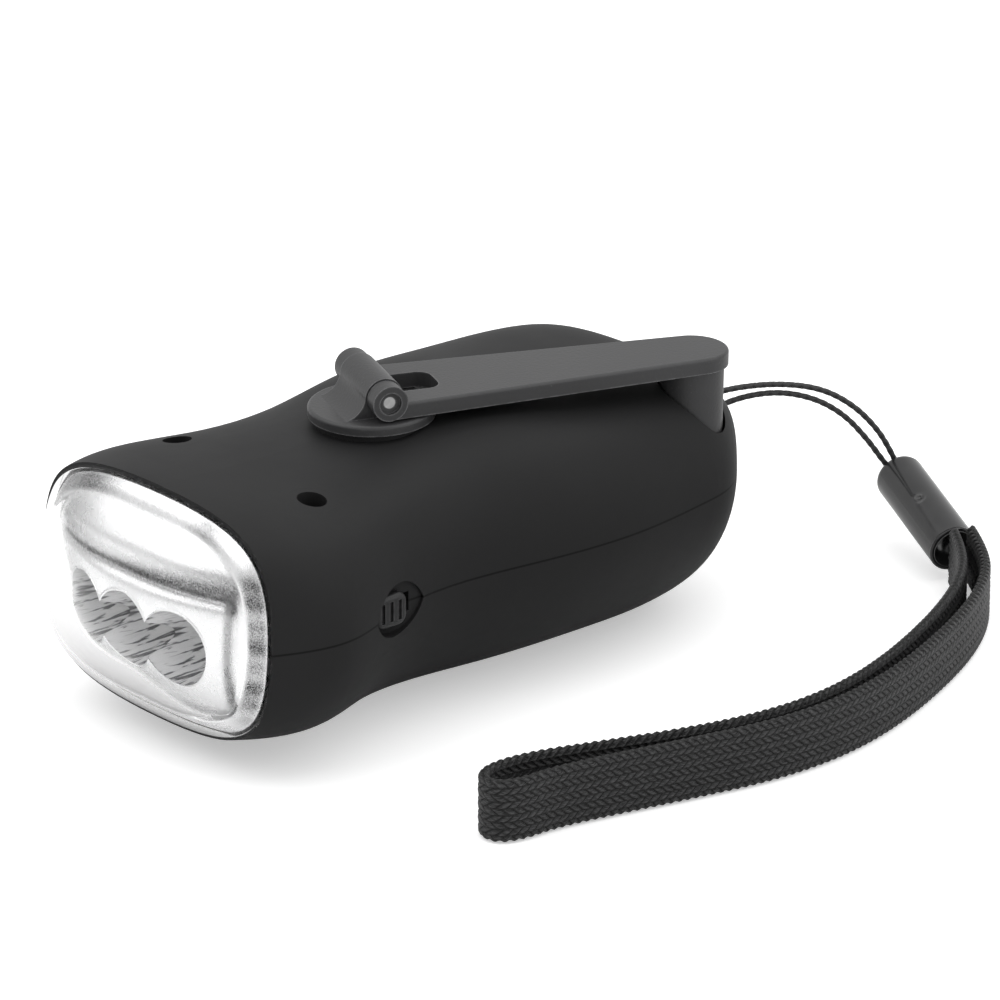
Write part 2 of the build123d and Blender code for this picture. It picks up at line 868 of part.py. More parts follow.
with BuildPart() as crank_hub:
    with BuildSketch(level(disc_height)):
        with Locations(hub_axis):
            Circle(disc_radius)
    extrude(amount=disc_thickness)
    fillet(crank_hub.edges().group_by(Axis.Z)[-1], radius=disc_edge)
    with BuildSketch(across):
        with BuildLine():
            Line((foot_back, foot - foot_sink), (-foot_reach, foot - foot_sink))
            Line((-foot_reach, foot - foot_sink), (-foot_reach, foot))
            ThreePointArc((-foot_reach, foot), foot_curve, (-knuckle_radius, 0))
            ThreePointArc((-knuckle_radius, 0), (0, knuckle_radius), (knuckle_radius, 0))
            Line((knuckle_radius, 0), (foot_back, foot - foot_sink))
        make_face()
    extrude(amount=knuckle_length)
    with BuildSketch(across):
        Circle(pin_radius + running_gap)
    extrude(amount=knuckle_length, mode=Mode.SUBTRACT)
    with BuildSketch(level(hub_low)):
        with Locations(hub_axis):
            Circle(hub_shaft_radius)
    extrude(amount=disc_height - hub_low)
    with BuildSketch(level(groove_height)):
        with Locations(hub_axis):
            Circle(hub_shaft_radius + 1)
            Circle(groove_radius, mode=Mode.SUBTRACT)
    extrude(amount=clip_thickness, mode=Mode.SUBTRACT)
crank_hub.part.label = "crank_hub"

with BuildPart() as hub_clip:
    with BuildSketch(level(groove_height)):
        with Locations(hub_axis):
            Circle(clip_radius)
            Circle(groove_radius + running_gap, mode=Mode.SUBTRACT)
            with Locations((0, -clip_radius)):
                Rectangle(clip_mouth, clip_radius, mode=Mode.SUBTRACT)
    extrude(amount=clip_thickness)
hub_clip.part.label = "hub_clip"

with BuildPart() as hub_screw:
    with BuildSketch(level(hub_low - hub_screw_height)):
        with Locations(hub_axis):
            Circle(hub_screw_radius)
    extrude(amount=hub_screw_height)
    with BuildSketch(level(hub_low - hub_screw_height)):
        with Locations(hub_axis):
            Rectangle(drive_length, drive_width)
            Rectangle(drive_width, drive_length)
    extrude(amount=drive_width, mode=Mode.SUBTRACT)
hub_screw.part.label = "hub_screw"

# ---------------------------------------------------------------- hinge pin and arm
pin_plane = Plane(
    origin=arm_plane.from_local_coords((0, hinge_length / 2 - pin_recess_depth, 0)),
    x_dir=arm_plane.x_dir,
    z_dir=-arm_plane.y_dir,
)
with BuildPart() as hinge_pin:
    with BuildSketch(pin_plane):
        Circle(pin_radius)
    extrude(amount=hinge_length - 2 * pin_recess_depth)
hinge_pin.part.label = "hinge_pin"

fork_half_width = knuckle_length / 2 + knuckle_gap
fork_reach = knuckle_radius + fork_gap
ear_plane = Plane(
    origin=arm_plane.from_local_coords((0, hinge_length / 2, 0)),
    x_dir=arm_plane.x_dir,
    z_dir=-arm_plane.y_dir,
)

with BuildPart() as crank_arm:
    with BuildSketch(arm_plane.offset(arm_bottom)):
        with BuildLine():
            Line((0, -arm_root_half_width), (0, arm_root_half_width))
            Line((0, arm_root_half_width), (arm_length, arm_end_radius))
            ThreePointArc(
                (arm_length, arm_end_radius),
                (arm_length + arm_end_radius, 0),
                (arm_length, -arm_end_radius),
            )
            Line((arm_length, -arm_end_radius), (0, -arm_root_half_width))
        make_face()
    extrude(amount=arm_thickness)
    rim = crank_arm.faces().sort_by(Axis.Z)[-1].edges()
    fillet(rim, radius=arm_edge)
    with BuildSketch(ear_plane):
        Circle(ear_radius)
    extrude(amount=hinge_length)
    with BuildSketch(arm_plane.offset(-2 * ear_radius)):
        Rectangle(2 * fork_reach, 2 * fork_half_width)
    extrude(amount=4 * ear_radius, mode=Mode.SUBTRACT)
    with BuildSketch(arm_plane.offset(-2 * ear_radius)):
        with Locations((arm_slot_end / 2, 0)):
            RectangleRounded(arm_slot_end, 2 * arm_slot_half_width, arm_slot_corner)
    extrude(amount=4 * ear_radius, mode=Mode.SUBTRACT)
    with BuildSketch(ear_plane):
        Circle(pin_radius)
    extrude(amount=hinge_length, mode=Mode.SUBTRACT)
    with BuildSketch(ear_plane, ear_plane.offset(hinge_length - pin_recess_depth)):
        Circle(pin_recess_radius)
    extrude(amount=pin_recess_depth, mode=Mode.SUBTRACT)
    with BuildSketch(knob_axis_plane.offset(arm_bottom)):
        Circle(knob_screw_radius)
    extrude(amount=arm_thickness - arm_skin, mode=Mode.SUBTRACT)
crank_arm.part.label = "crank_arm"

# ---------------------------------------------------------------- knob and its screw
with BuildPart() as crank_knob:
    with BuildSketch(knob_axis_plane.offset(knob_top)):
        Circle(knob_radius)
    extrude(amount=-knob_length)
    low_rim = crank_knob.edges().filter_by(GeomType.CIRCLE).sort_by(Axis.Z)[0]
    high_rim = crank_knob.edges().filter_by(GeomType.CIRCLE).sort_by(Axis.Z)[-1]
    fillet(low_rim, radius=knob_low_edge)
    fillet(high_rim, radius=knob_high_edge)
    with BuildSketch(knob_axis_plane.offset(knob_top)):
        Circle(knob_screw_radius + running_gap)
    extrude(amount=-knob_length, mode=Mode.SUBTRACT)
    with BuildSketch(knob_axis_plane.offset(knob_bottom)):
        Circle(knob_screw_head_radius + fit_gap)
    extrude(amount=knob_recess_depth, mode=Mode.SUBTRACT)
crank_knob.part.label = "crank_knob"

head_top = knob_bottom + knob_recess_depth - running_gap

with BuildPart() as knob_screw:
    with BuildSketch(knob_axis_plane.offset(arm_top - arm_skin)):
        Circle(knob_screw_radius)
    extrude(amount=head_top - arm_top + arm_skin)
    with BuildSketch(knob_axis_plane.offset(head_top)):
        Circle(knob_screw_head_radius)
    extrude(amount=-knob_screw_head_height)
    with BuildSketch(knob_axis_plane.offset(head_top - knob_screw_head_height)):
        Rectangle(drive_length, drive_width)
        Rectangle(drive_width, drive_length)
    extrude(amount=drive_width, mode=Mode.SUBTRACT)
knob_screw.part.label = "knob_screw"

# ---------------------------------------------------------------- gears
ratchet_height = drive_gear_height + gear_thickness

with BuildPart() as drive_gear:
    with BuildSketch(level(drive_gear_height)):
        with Locations(hub_axis):
            add(drive_profile)
            Circle(hub_shaft_radius + running_gap, mode=Mode.SUBTRACT)
    extrude(amount=gear_thickness)
    with BuildSketch(level(ratchet_height)):
        with Locations(hub_axis):
            Circle(clutch_radius + clutch_ring_wall)
            Circle(clutch_radius, mode=Mode.SUBTRACT)
            with PolarLocations(clutch_radius, clutch_teeth):
                Rectangle(2 * clutch_tooth, clutch_tooth_width)
    extrude(amount=clutch_ring_height)
drive_gear.part.label = "drive_gear"

with BuildPart() as clutch_pawls:
    with BuildSketch(level(ratchet_height + pawl_gap)):
        with Locations(hub_axis):
            Circle(hub_shaft_radius + pawl_ring)
            with PolarLocations(0, 2, start_angle=30):
                with Locations(pawl_place):
                    Rectangle(*pawl_size)
            Circle(hub_shaft_radius, mode=Mode.SUBTRACT)
    extrude(amount=clutch_ring_height - 2 * pawl_gap)
clutch_pawls.part.label = "clutch_pawls"

with BuildPart() as first_gear:
    with BuildSketch(level(first_wheel_height)):
        with Locations(first_axis):
            add(first_wheel)
    extrude(amount=gear_thickness)
    with BuildSketch(level(first_wheel_height + gear_thickness)):
        with Locations(first_axis):
            add(first_pinion)
    extrude(amount=gear_thickness + gear_layer_gap + pinion_overlap)
    with BuildSketch(level(first_wheel_height)):
        with Locations(first_axis):
            Circle(axle_radius + running_gap)
    extrude(amount=3 * gear_thickness, mode=Mode.SUBTRACT)
first_gear.part.label = "compound_gear_1"

with BuildPart() as second_gear:
    with BuildSketch(level(second_wheel_height)):
        with Locations(second_axis):
            add(second_wheel)
    extrude(amount=gear_thickness)
    with BuildSketch(level(second_wheel_height + gear_thickness)):
        with Locations(second_axis):
            add(second_pinion)
    extrude(amount=gear_thickness + gear_layer_gap + pinion_overlap)
    with BuildSketch(level(second_wheel_height)):
        with Locations(second_axis):
            Circle(axle_radius + running_gap)
    extrude(amount=3 * gear_thickness, mode=Mode.SUBTRACT)
second_gear.part.label = "compound_gear_2"

# ---------------------------------------------------------------- gear cage and cover
cover_top = cover_height + frame_plate


def plate_outline():
    """Outline drawn tight round the pillars and the bearings."""
    with BuildSketch() as plate:
        with Locations(*pillars):
            Circle(pillar_radius + plate_margin)
        with Locations(first_axis, second_axis, rotor_axis):
            Circle(3 * axle_radius)
        with Locations(hub_axis):
            Circle(2 * hub_shaft_radius)
        make_hull()
    return plate.sketch


plate = plate_outline()

with BuildPart() as gear_cage:
    with BuildSketch(level(cage_height)):
        add(plate)
        with Locations(hub_axis):
            Circle(hub_shaft_radius + plate_clearance, mode=Mode.SUBTRACT)
    extrude(amount=frame_plate)
    with BuildSketch(level(cover_top)):
        with Locations(*pillars):
            Circle(pillar_radius)
    extrude(amount=cage_height - cover_top)
    with BuildSketch(level(cover_top)):
        with Locations(*pillars):
            Circle(gearbox_screw_radius)
    extrude(amount=cage_top - cover_top, mode=Mode.SUBTRACT)
    with BuildSketch(level(cage_height)):
        with Locations(first_axis, second_axis):
            Circle(axle_radius)
    extrude(amount=frame_plate, mode=Mode.SUBTRACT)
gear_cage.part.label = "gear_cage"

with BuildPart() as gear_cover:
    with BuildSketch(level(cover_height)):
        add(plate)
        with Locations(*pillars):
            Circle(gearbox_screw_radius, mode=Mode.SUBTRACT)
        with Locations(first_axis, second_axis):
            Circle(axle_radius, mode=Mode.SUBTRACT)
        with Locations(rotor_axis):
            Circle(rotor_shaft_radius + running_gap, mode=Mode.SUBTRACT)
    extrude(amount=frame_plate)
gear_cover.part.label = "gear_cover"

with BuildPart() as gear_axles:
    with BuildSketch(level(cover_height)):
        with Locations(first_axis, second_axis):
            Circle(axle_radius)
    extrude(amount=cage_top - cover_height)
gear_axles.part.label = "gear_axles"

with BuildPart() as gearbox_screws:
    with BuildSketch(level(cover_height)):
        with Locations(*pillars):
            Circle(gearbox_screw_radius)
    extrude(amount=cage_top - cover_height + wall)
    with BuildSketch(level(cover_height)):
        with Locations(*pillars):
            Circle(gearbox_screw_head_radius)
    extrude(amount=-gearbox_screw_head_height)
gearbox_screws.part.label = "gearbox_screws"

# ---------------------------------------------------------------- generator
rotor_pinion_height = cover_top + gear_layer_gap / 2
rotor_pinion_length = gear_thickness + gear_layer_gap

with BuildPart() as rotor_shaft:
    with BuildSketch(level(rotor_shaft_base)):
        with Locations(rotor_axis):
            Circle(rotor_shaft_radius)
    extrude(amount=rotor_pinion_height + rotor_pinion_length - rotor_shaft_base)
rotor_shaft.part.label = "rotor_shaft"

with BuildPart() as rotor_pinion:
    with BuildSketch(level(rotor_pinion_height)):
        with Locations(rotor_axis):
            add(rotor_teeth)
            Circle(rotor_shaft_radius, mode=Mode.SUBTRACT)
    extrude(amount=rotor_pinion_length)
rotor_pinion.part.label = "rotor_pinion"

with BuildPart() as rotor_magnet:
    with BuildSketch(level(magnet_base)):
        with Locations(rotor_axis):
            Circle(magnet_radius)
            Circle(rotor_shaft_radius, mode=Mode.SUBTRACT)
    extrude(amount=magnet_height)
    chamfer(rotor_magnet.edges().filter_by(GeomType.CIRCLE).sort_by(SortBy.RADIUS)[-2:], magnet_edge)
rotor_magnet.part.label = "rotor_magnet"

limb_side = bore_radius + core_limb
core_back = rotor_axis[1] + magnet_radius
bar_y = rotor_axis[1] - bar_back
coil_wide = core_bar_width + 2 * bobbin_wall + 2 * coil_build
coil_tall = core_height + 2 * bobbin_wall + 2 * coil_build
core_middle = core_base + core_height / 2

with BuildPart() as stator_core:
    with BuildSketch(level(core_base)):
        with Locations((rotor_axis[0], core_back)):
            Rectangle(
                2 * limb_side,
                core_back - bar_y + core_bar_width / 2,
                align=(Align.CENTER, Align.MAX),
            )
        with Locations((rotor_axis[0], bar_y + core_bar_width / 2)):
            Rectangle(
                2 * bore_radius,
                rotor_axis[1] - bar_y - core_bar_width / 2,
                align=(Align.CENTER, Align.MIN),
                mode=Mode.SUBTRACT,
            )
        with Locations(rotor_axis):
            Circle(bore_radius, mode=Mode.SUBTRACT)
    extrude(amount=core_height)
stator_core.part.label = "stator_core"

with BuildPart() as coil_bobbin:
    with BuildSketch(Plane.YZ.offset(rotor_axis[0] - coil_length / 2)):
        with Locations((bar_y, core_middle)):
            Rectangle(core_bar_width + 2 * bobbin_wall, core_height + 2 * bobbin_wall)
    extrude(amount=coil_length)
    for start in (-coil_length / 2, coil_length / 2 - bobbin_flange):
        with BuildSketch(Plane.YZ.offset(rotor_axis[0] + start)):
            with Locations((bar_y, core_middle)):
                RectangleRounded(
                    coil_wide + 2 * flange_margin,
                    coil_tall + 2 * flange_margin,
                    bobbin_corner,
                )
        extrude(amount=bobbin_flange)
    with BuildSketch(Plane.YZ.offset(rotor_axis[0] - coil_length / 2)):
        with Locations((bar_y, core_middle)):
            Rectangle(core_bar_width, core_height)
    extrude(amount=coil_length, mode=Mode.SUBTRACT)
coil_bobbin.part.label = "coil_bobbin"

with BuildPart() as coil_winding:
    with BuildSketch(Plane.YZ.offset(rotor_axis[0] - coil_length / 2 + bobbin_flange)):
        with Locations((bar_y, core_middle)):
            RectangleRounded(coil_wide, coil_tall, coil_corner)
            Rectangle(
                core_bar_width + 2 * bobbin_wall,
                core_height + 2 * bobbin_wall,
                mode=Mode.SUBTRACT,
            )
    extrude(amount=coil_length - 2 * bobbin_flange)
coil_winding.part.label = "coil_winding"

# ---------------------------------------------------------------- strap
# Routes, point by point, as the strap lies. The string goes from the ferrule round
# the bar in the tail and back, and the webbing stands on edge on the surface.
string_route = [
    (14.3, 82.3, 9.8),
    (13.3, 81.2, 13.1),
    (12.5, 78.9, 17.2),
    (10.9, 75.4, 21.4),
    (8.6, 70.8, 24.6),
    (5.7, 64.6, 26.1),
    (2.7, 57.8, 26.2),
    (0.3, 52.0, 25.0),
    (0.0, 47.25, 24.4),
    (0.0, 47.25, 21.0),
    (0.3, 52.0, 21.5),
    (2.6, 57.8, 24.3),
    (5.5, 64.2, 24.9),
    (8.1, 69.8, 23.2),
    (10.2, 74.2, 20.0),
    (11.8, 77.6, 15.6),
    (12.8, 79.9, 11.9),
    (13.7, 81.6, 9.3),
]
webbing_route = [
    (34.4, 73.6),
    (40.6, 69.3),
    (46.9, 62.4),
    (52.0, 54.0),
    (56.4, 44.6),
    (60.2, 34.8),
    (62.9, 25.0),
    (63.9, 15.4),
    (62.9, 5.6),
    (60.0, -4.6),
    (56.0, -14.8),
    (51.8, -25.2),
    (50.9, -31.6),
    (52.2, -35.2),
    (55.6, -35.6),
    (57.3, -32.4),
    (57.6, -26.0),
    (60.1, -16.4),
    (63.1, -5.6),
    (66.0, 5.6),
    (66.9, 16.0),
    (65.9, 26.0),
    (63.2, 36.2),
    (59.4, 46.4),
    (55.0, 56.0),
    (49.6, 64.6),
    (43.2, 71.4),
    (35.4, 76.2),
]


def corner_radii(points):
    """Radius of the arc at each corner: as large as its two runs allow."""
    radii = []
    for before, corner, after in zip(points, points[1:], points[2:]):
        first, second = Vector(corner) - Vector(before), Vector(after) - Vector(corner)
        turn = radians(first.get_angle(second))
        radii.append(corner_share * min(first.length, second.length) / tan(turn / 2))
    return radii


string_radii = corner_radii(string_route)
webbing_points = [(x, y, webbing_width / 2) for x, y in webbing_route]
webbing_radii = corner_radii(webbing_points)
print("string radii, mm:", [round(radius, 1) for radius in string_radii])
print("webbing radii, mm:", [round(radius, 1) for radius in webbing_radii])

with BuildPart() as strap_string:
    with BuildLine():
        string_path = FilletPolyline(*string_route, radius=string_radii)
    with BuildSketch(Plane(string_path @ 0, z_dir=string_path % 0)):
        Circle(string_diameter / 2)
    sweep(path=string_path)
strap_string.part.label = "strap_string"

with BuildPart() as strap_webbing:
    with BuildLine():
        webbing_path = FilletPolyline(*webbing_points, radius=webbing_radii)
    with BuildSketch(Plane(webbing_path @ 0, x_dir=(0, 0, 1), z_dir=webbing_path % 0)):
        Rectangle(webbing_width, webbing_thickness)
    sweep(path=webbing_path)
strap_webbing.part.label = "strap_webbing"

for name, path, area, solid in (
    ("string", string_path, pi * string_diameter**2 / 4, strap_string.part),
    ("webbing", webbing_path, webbing_width * webbing_thickness, strap_webbing.part),
):
    share = solid.volume / path.length / area
    print(name, "length", round(path.length, 1), "volume share", round(share, 3))

ferrule_axis = Vector(ferrule_mouth) - Vector(ferrule_top)
ferrule_plane = Plane(origin=ferrule_top, z_dir=ferrule_axis.normalized())

with BuildPart() as strap_ferrule:
    with BuildSketch(ferrule_plane):
        Circle(ferrule_radius)
    extrude(amount=ferrule_axis.length)
    rims = strap_ferrule.edges().filter_by(GeomType.CIRCLE).sort_by(Axis.X)
    fillet(rims[0], radius=ferrule_shoulder)
    fillet(rims[-1], radius=ferrule_rim)
    with BuildSketch(ferrule_plane):
        Circle(2.5 * string_diameter)
    extrude(amount=ferrule_hole_depth, mode=Mode.SUBTRACT)
    with BuildSketch(ferrule_plane.offset(ferrule_axis.length)):
        Circle(ferrule_radius - ferrule_wall)
    extrude(amount=-ferrule_mouth_depth, mode=Mode.SUBTRACT)
strap_ferrule.part.label = "strap_ferrule"

# ---------------------------------------------------------------- export
pieces = [
    upper_housing,
    lower_housing,
    lens,
    reflector,
    *leds,
    led_board,
    switch_button,
    switch_arm,
    slide_switch,
    circuit_board,
    capacitor,
    charge_chip,
    battery_cells,
    battery_tabs,
    housing_screws,
    crank_hub,
    hub_clip,
    hub_screw,
    hinge_pin,
    crank_arm,
    crank_knob,
    knob_screw,
    drive_gear,
    clutch_pawls,
    first_gear,
    second_gear,
    gear_cage,
    gear_cover,
    gear_axles,
    gearbox_screws,
    rotor_shaft,
    rotor_pinion,
    rotor_magnet,
    stator_core,
    coil_bobbin,
    coil_winding,
    strap_string,
    strap_webbing,
    strap_ferrule,
]
for piece in pieces:
    export_step(piece.part, f"parts/{piece.part.label}.step")
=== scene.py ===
"""Looks of the hand crank flashlight, in metres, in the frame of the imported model.

New pieces are numpy surfaces. The front's pieces are worked out on the front plane, with u to
the side, v up it and w out of it, and the strap's pieces follow splines of their routes.
"""
import json
from math import cos, pi, radians, sin

import bpy
import numpy as np
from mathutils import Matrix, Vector


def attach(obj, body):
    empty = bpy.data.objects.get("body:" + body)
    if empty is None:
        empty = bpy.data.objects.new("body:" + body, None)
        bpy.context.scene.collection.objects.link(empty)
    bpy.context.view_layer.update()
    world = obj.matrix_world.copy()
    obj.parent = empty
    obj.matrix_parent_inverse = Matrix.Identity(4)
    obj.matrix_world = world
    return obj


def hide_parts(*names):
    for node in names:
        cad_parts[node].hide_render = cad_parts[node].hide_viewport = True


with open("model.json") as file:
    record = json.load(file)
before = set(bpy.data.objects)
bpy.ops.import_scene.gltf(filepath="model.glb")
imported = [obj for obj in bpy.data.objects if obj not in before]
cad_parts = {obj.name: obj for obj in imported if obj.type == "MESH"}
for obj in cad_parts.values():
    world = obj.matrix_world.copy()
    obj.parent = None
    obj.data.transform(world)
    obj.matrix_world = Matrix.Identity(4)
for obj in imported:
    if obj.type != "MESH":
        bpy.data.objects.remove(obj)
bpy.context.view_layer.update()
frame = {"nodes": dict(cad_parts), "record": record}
nodes = frame["nodes"]
MM = 0.001
for plain in list(bpy.data.materials):
    bpy.data.materials.remove(plain)

# ---------------------------------------------------------------- camera
CAMERA_PLACE = (0.6982, -0.6058, 0.4066)
CAMERA_TARGET = (0.01217, 0.00403, 0.02606)
CAMERA_LENS = 251.7

camera_data = bpy.data.cameras.new("camera")
camera_data.sensor_width = 36.0
camera_data.lens = CAMERA_LENS
camera = bpy.data.objects.new("camera", camera_data)
camera.location = CAMERA_PLACE
aim = Vector(CAMERA_TARGET) - Vector(CAMERA_PLACE)
camera.rotation_euler = aim.to_track_quat("-Z", "Y").to_euler()
bpy.context.scene.collection.objects.link(camera)
bpy.context.scene.camera = camera
bpy.context.scene.view_settings.view_transform = "Standard"


# ---------------------------------------------------------------- node helpers
def socket(group, name, kind, default=None, output=False):
    """Adds one named socket to a shader group's interface."""
    made = group.interface.new_socket(
        name=name, in_out="OUTPUT" if output else "INPUT", socket_type=kind
    )
    if default is not None:
        made.default_value = default
    return made


def new_group(name, inputs, outputs):
    """A shader group with float inputs and the named outputs, and its two end nodes."""
    group = bpy.data.node_groups.new(name, "ShaderNodeTree")
    for label, default in inputs:
        socket(group, label, "NodeSocketFloat", default)
    for label, kind in outputs:
        socket(group, label, kind, output=True)
    start = group.nodes.new("NodeGroupInput")
    end = group.nodes.new("NodeGroupOutput")
    return group, start, end


def node(tree, kind, links=None, **settings):
    """Adds a node, sets its properties and links or sets its inputs by name or number."""
    made = tree.nodes.new(kind)
    for key, value in settings.items():
        setattr(made, key, value)
    for key, value in (links or {}).items():
        target = made.inputs[key]
        if isinstance(value, bpy.types.NodeSocket):
            tree.links.new(value, target)
        else:
            target.default_value = value
    return made


def math_node(tree, operation, first, second=0.0, third=0.0, clamp=False):
    """A Math node's output."""
    made = node(tree, "ShaderNodeMath", {0: first, 1: second, 2: third}, operation=operation)
    made.use_clamp = clamp
    return made.outputs[0]


def ramp(tree, value, low, high, out_low=0.0, out_high=1.0):
    """Maps a value from one range to another, smoothly and clamped."""
    made = node(
        tree,
        "ShaderNodeMapRange",
        {"Value": value, 1: low, 2: high, 3: out_low, 4: out_high},
        interpolation_type="SMOOTHSTEP",
    )
    return made.outputs["Result"]


def mix_color(tree, factor, first, second, blend="MIX"):
    """A Mix node's colour output."""
    made = node(tree, "ShaderNodeMix", data_type="RGBA", blend_type=blend)
    for index, value in ((0, factor), (6, first), (7, second)):
        if isinstance(value, bpy.types.NodeSocket):
            tree.links.new(value, made.inputs[index])
        else:
            made.inputs[index].default_value = value
    return made.outputs[2]


# ---------------------------------------------------------------- shared effects
def moulded_grain():
    """Fine pebbled grain of moulded plastic: a height, and a slow drift of tone."""
    group, start, end = new_group(
        "moulded_grain",
        [("Grain Size", 2500.0), ("Drift Size", 40.0)],
        [("Height", "NodeSocketFloat"), ("Drift", "NodeSocketFloat")],
    )
    place = node(group, "ShaderNodeTexCoord").outputs["Object"]
    fine = node(
        group,
        "ShaderNodeTexNoise",
        {"Vector": place, "Scale": start.outputs["Grain Size"], "Detail": 2.0},
    )
    slow = node(
        group,
        "ShaderNodeTexNoise",
        {"Vector": place, "Scale": start.outputs["Drift Size"], "Detail": 4.0},
    )
    group.links.new(fine.outputs["Fac"], end.inputs["Height"])
    group.links.new(slow.outputs["Fac"], end.inputs["Drift"])
    return group


def rubbed_and_lit_edges():
    """Mask of the edges that hands rub, which also paints their highlight: where a rounded normal
    leaves the true one.
    """
    group, start, end = new_group(
        "rubbed_and_lit_edges",
        [("Width", 0.0004), ("Amount", 5.0)],
        [("Mask", "NodeSocketFloat")],
    )
    rounded = node(group, "ShaderNodeBevel", {"Radius": start.outputs["Width"]}, samples=6)
    true = node(group, "ShaderNodeNewGeometry")
    facing = node(
        group,
        "ShaderNodeVectorMath",
        {0: rounded.outputs[0], 1: true.outputs["Normal"]},
        operation="DOT_PRODUCT",
    )
    apart = math_node(group, "SUBTRACT", 1.0, facing.outputs["Value"])
    scaled = math_node(group, "MULTIPLY", apart, start.outputs["Amount"], clamp=True)
    place = node(group, "ShaderNodeTexCoord").outputs["Object"]
    broken = node(group, "ShaderNodeTexNoise", {"Vector": place, "Scale": 900.0, "Detail": 3.0})
    uneven = ramp(group, broken.outputs["Fac"], 0.35, 0.6, 0.35, 1.0)
    group.links.new(math_node(group, "MULTIPLY", scaled, uneven), end.inputs["Mask"])
    return group


def light_dust():
    """Sparse pale specks: cells of a fine Voronoi pattern close to their points."""
    group, start, end = new_group(
        "light_dust",
        [("Speck Size", 1600.0), ("Reach", 0.16)],
        [("Mask", "NodeSocketFloat")],
    )
    place = node(group, "ShaderNodeTexCoord").outputs["Object"]
    cells = node(
        group, "ShaderNodeTexVoronoi", {"Vector": place, "Scale": start.outputs["Speck Size"]}
    )
    patch = node(group, "ShaderNodeTexNoise", {"Vector": place, "Scale": 300.0, "Detail": 2.0})
    near = math_node(group, "LESS_THAN", cells.outputs["Distance"], start.outputs["Reach"])
    where = ramp(group, patch.outputs["Fac"], 0.5, 0.7)
    group.links.new(math_node(group, "MULTIPLY", near, where), end.inputs["Mask"])
    return group


def braid():
    """Plaits of flat webbing from its own UV, which counts plaits along it and columns across:
    a height, painted shade for the hollows between the plaits, and fibres that run along each
    plait."""
    group, start, end = new_group(
        "braid",
        [("Slant", 0.8), ("Fibres", 7.0)],
        [("Height", "NodeSocketFloat"), ("Hollow Shade", "NodeSocketFloat"),
         ("Fibre", "NodeSocketFloat")],
    )
    counts = node(group, "ShaderNodeUVMap", uv_map="braid").outputs[0]
    place = node(group, "ShaderNodeSeparateXYZ", {0: counts})
    along, across = place.outputs["X"], place.outputs["Y"]
    column = math_node(group, "FLOOR", across)
    local = math_node(group, "SUBTRACT", math_node(group, "FRACT", across), 0.5)
    odd = math_node(group, "MODULO", column, 2.0)
    slant = math_node(group, "MULTIPLY_ADD", odd, -2.0, 1.0)
    lean = math_node(group, "MULTIPLY", slant, local)
    lean = math_node(group, "MULTIPLY", lean, start.outputs["Slant"])
    phase = math_node(group, "MULTIPLY_ADD", odd, 0.5, math_node(group, "ADD", along, lean))
    turn = math_node(group, "MULTIPLY", math_node(group, "FRACT", phase), pi)
    rise = math_node(group, "POWER", math_node(group, "SINE", turn), 0.7)
    width = math_node(group, "COSINE", math_node(group, "MULTIPLY", local, pi))
    width = math_node(group, "POWER", width, 0.5)
    plait = math_node(group, "MULTIPLY", rise, width)
    aslant = math_node(group, "MULTIPLY", math_node(group, "MULTIPLY", slant, along), -2.2)
    lines = math_node(group, "MULTIPLY_ADD", across, start.outputs["Fibres"], aslant)
    stretched = math_node(group, "MULTIPLY", phase, 1.3)
    spread = node(group, "ShaderNodeCombineXYZ", {0: stretched, 1: lines})
    fibres = node(
        group, "ShaderNodeTexNoise", {"Vector": spread.outputs[0], "Scale": 1.0, "Detail": 3.0}
    )
    group.links.new(plait, end.inputs["Height"])
    # painted shade in the hollows between the plaits
    group.links.new(ramp(group, plait, 0.66, 0.25), end.inputs["Hollow Shade"])
    group.links.new(fibres.outputs["Fac"], end.inputs["Fibre"])
    return group


GRAIN = moulded_grain()
WORN_AND_LIT_EDGES = rubbed_and_lit_edges()
DUST = light_dust()
BRAID = braid()


def group_node(tree, group, **values):
    """Places a shared effect in a material, with its own values."""
    placed = node(tree, "ShaderNodeGroup", node_tree=group)
    for key, value in values.items():
        placed.inputs[key.replace("_", " ")].default_value = value
    return placed


def new_material(name, color, roughness, metallic=0.0):
    """A material with its Principled shader; returns it, its tree and the shader."""
    material = bpy.data.materials.new(name)
    material.use_nodes = True
    tree = material.node_tree
    shader = tree.nodes["Principled BSDF"]
    shader.inputs["Base Color"].default_value = (*color, 1.0)
    shader.inputs["Roughness"].default_value = roughness
    shader.inputs["Metallic"].default_value = metallic
    return material, tree, shader


